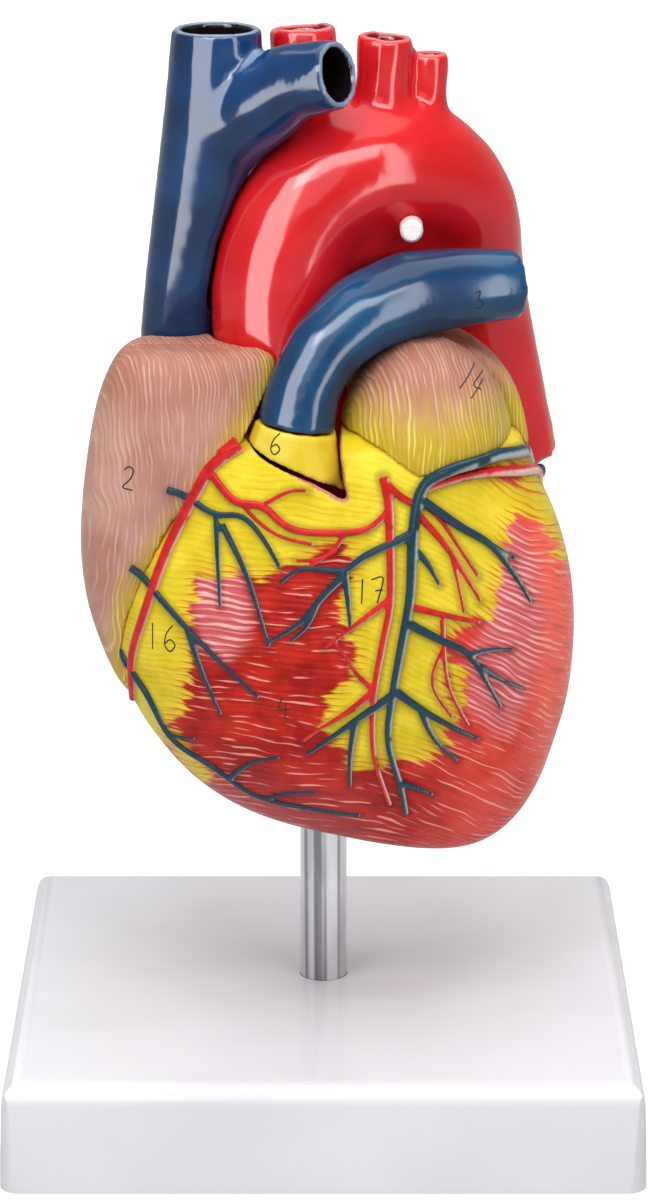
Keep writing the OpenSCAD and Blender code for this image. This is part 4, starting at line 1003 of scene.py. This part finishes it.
# as the base's edges in the photo give it
camera_data = bpy.data.cameras.new("camera")
camera_data.sensor_width = 36
camera_data.lens = 144.33
camera = new_object("camera", camera_data)
camera.location = (0.0004, -0.883, 0.3553)
camera.rotation_euler = (math.radians(90 - 16.31), 0, 0)
bpy.context.scene.camera = camera


def background_rays(add):
    """1 for rays straight from the camera or through glass, and a quarter for mirrored ones."""
    path = add("LightPath", out=None)
    mirrored = add("MULTIPLY", [path["Is Glossy Ray"], 0.25])
    seen = add("MAXIMUM", [path["Is Camera Ray"], mirrored])
    return add("MAXIMUM", [seen, path["Is Transmission Ray"]])


def studio_paper():
    """Matt white paper, lit by the lamps. A little light of its own, more from 150 to 1400 mm away
    where the lamps fall off, keeps it as even a white as in the photo."""
    material, add, shader, where = surface("white_studio_paper", Base_Color="#ACACAC", Roughness=0.9)
    away = add("VectorMath", [where], "Value", operation="LENGTH")
    more = add("MapRange", [away, 150.0, 1400.0, 0.68, 1.0])
    white = add("MULTIPLY", [background_rays(add), more])
    glow = add("Emission", {"Color": (1, 1, 1, 1), "Strength": white})
    lit = add("AddShader", [shader.outputs[0], glow])
    add(material.node_tree.nodes["Material Output"], {"Surface": lit}, None)
    return material


bpy.ops.mesh.primitive_plane_add(size=24, location=(0, 0, 0))
floor = bpy.context.active_object
floor.name = "studio_floor"
floor.data.materials.append(studio_paper())

world = bpy.data.worlds.new("studio")
bpy.context.scene.world = world
world.use_nodes = True
add = partial(put, world.node_tree)
strength = add("MapRange", [background_rays(add), 0.0, 1.0, 0.32, 1.0])
add(world.node_tree.nodes["Background"], {"Color": (1, 1, 1, 1), "Strength": strength})


def softbox(name, place, aim, size, radiance, lights=True, mirrored=True):
    """A rectangular soft light of an even radiance, which may only light, or only be mirrored."""
    data = bpy.data.lights.new(name, "AREA")
    data.shape = "RECTANGLE"
    data.size, data.size_y = size
    data.energy = radiance * math.pi * size[0] * size[1]
    obj = new_object(name, data)
    obj.location = place
    obj.rotation_euler = (Vector(aim) - Vector(place)).to_track_quat("-Z", "Y").to_euler()
    obj.visible_camera = False
    obj.visible_diffuse = lights
    obj.visible_glossy = mirrored
    return obj


softbox("left_key", (-0.80, -0.85, 0.75), (0, 0, 0.12), (0.9, 0.9), 2.6, mirrored=False)
softbox("right_key", (0.80, -0.85, 0.75), (0, 0, 0.12), (0.9, 0.9), 2.1, mirrored=False)
softbox("high_softbox", (0.02, -0.45, 0.95), (0, 0, 0.15), (0.6, 0.4), 4.9, mirrored=False)
softbox("top_softbox", (0.0, 0.15, 1.15), (0, 0, 0.1), (1.2, 1.2), 2.0)
softbox("low_softbox", (-0.10, -0.75, 0.45), (0, 0, 0.12), (0.5, 0.3), 1.6)
# upright boxes close by and one above them, whose long streaks show on the great vessels only
strips = [softbox(*strip, lights=False) for strip in (
    ("left_strip", (-0.235, -0.30, 0.25), (-0.02, 0, 0.2), (0.26, 0.5), 9.5),
    ("right_strip", (0.27, -0.29, 0.25), (0, 0, 0.2), (0.10, 0.5), 8.0),
    ("front_strip", (0.0, -0.36, 0.48), (0.02, 0, 0.17), (0.50, 0.15), 11.0))]
glossy = bpy.data.collections.new("great_vessels")
for name in ("aortic_arch", "upper_vena_cava", "pulmonary_artery", "lung_veins", "lower_vena_cava"):
    glossy.objects.link(bpy.data.objects[name])
for strip in strips:
    strip.light_linking.receiver_collection = glossy

bpy.context.scene.view_settings.view_transform = "Standard"
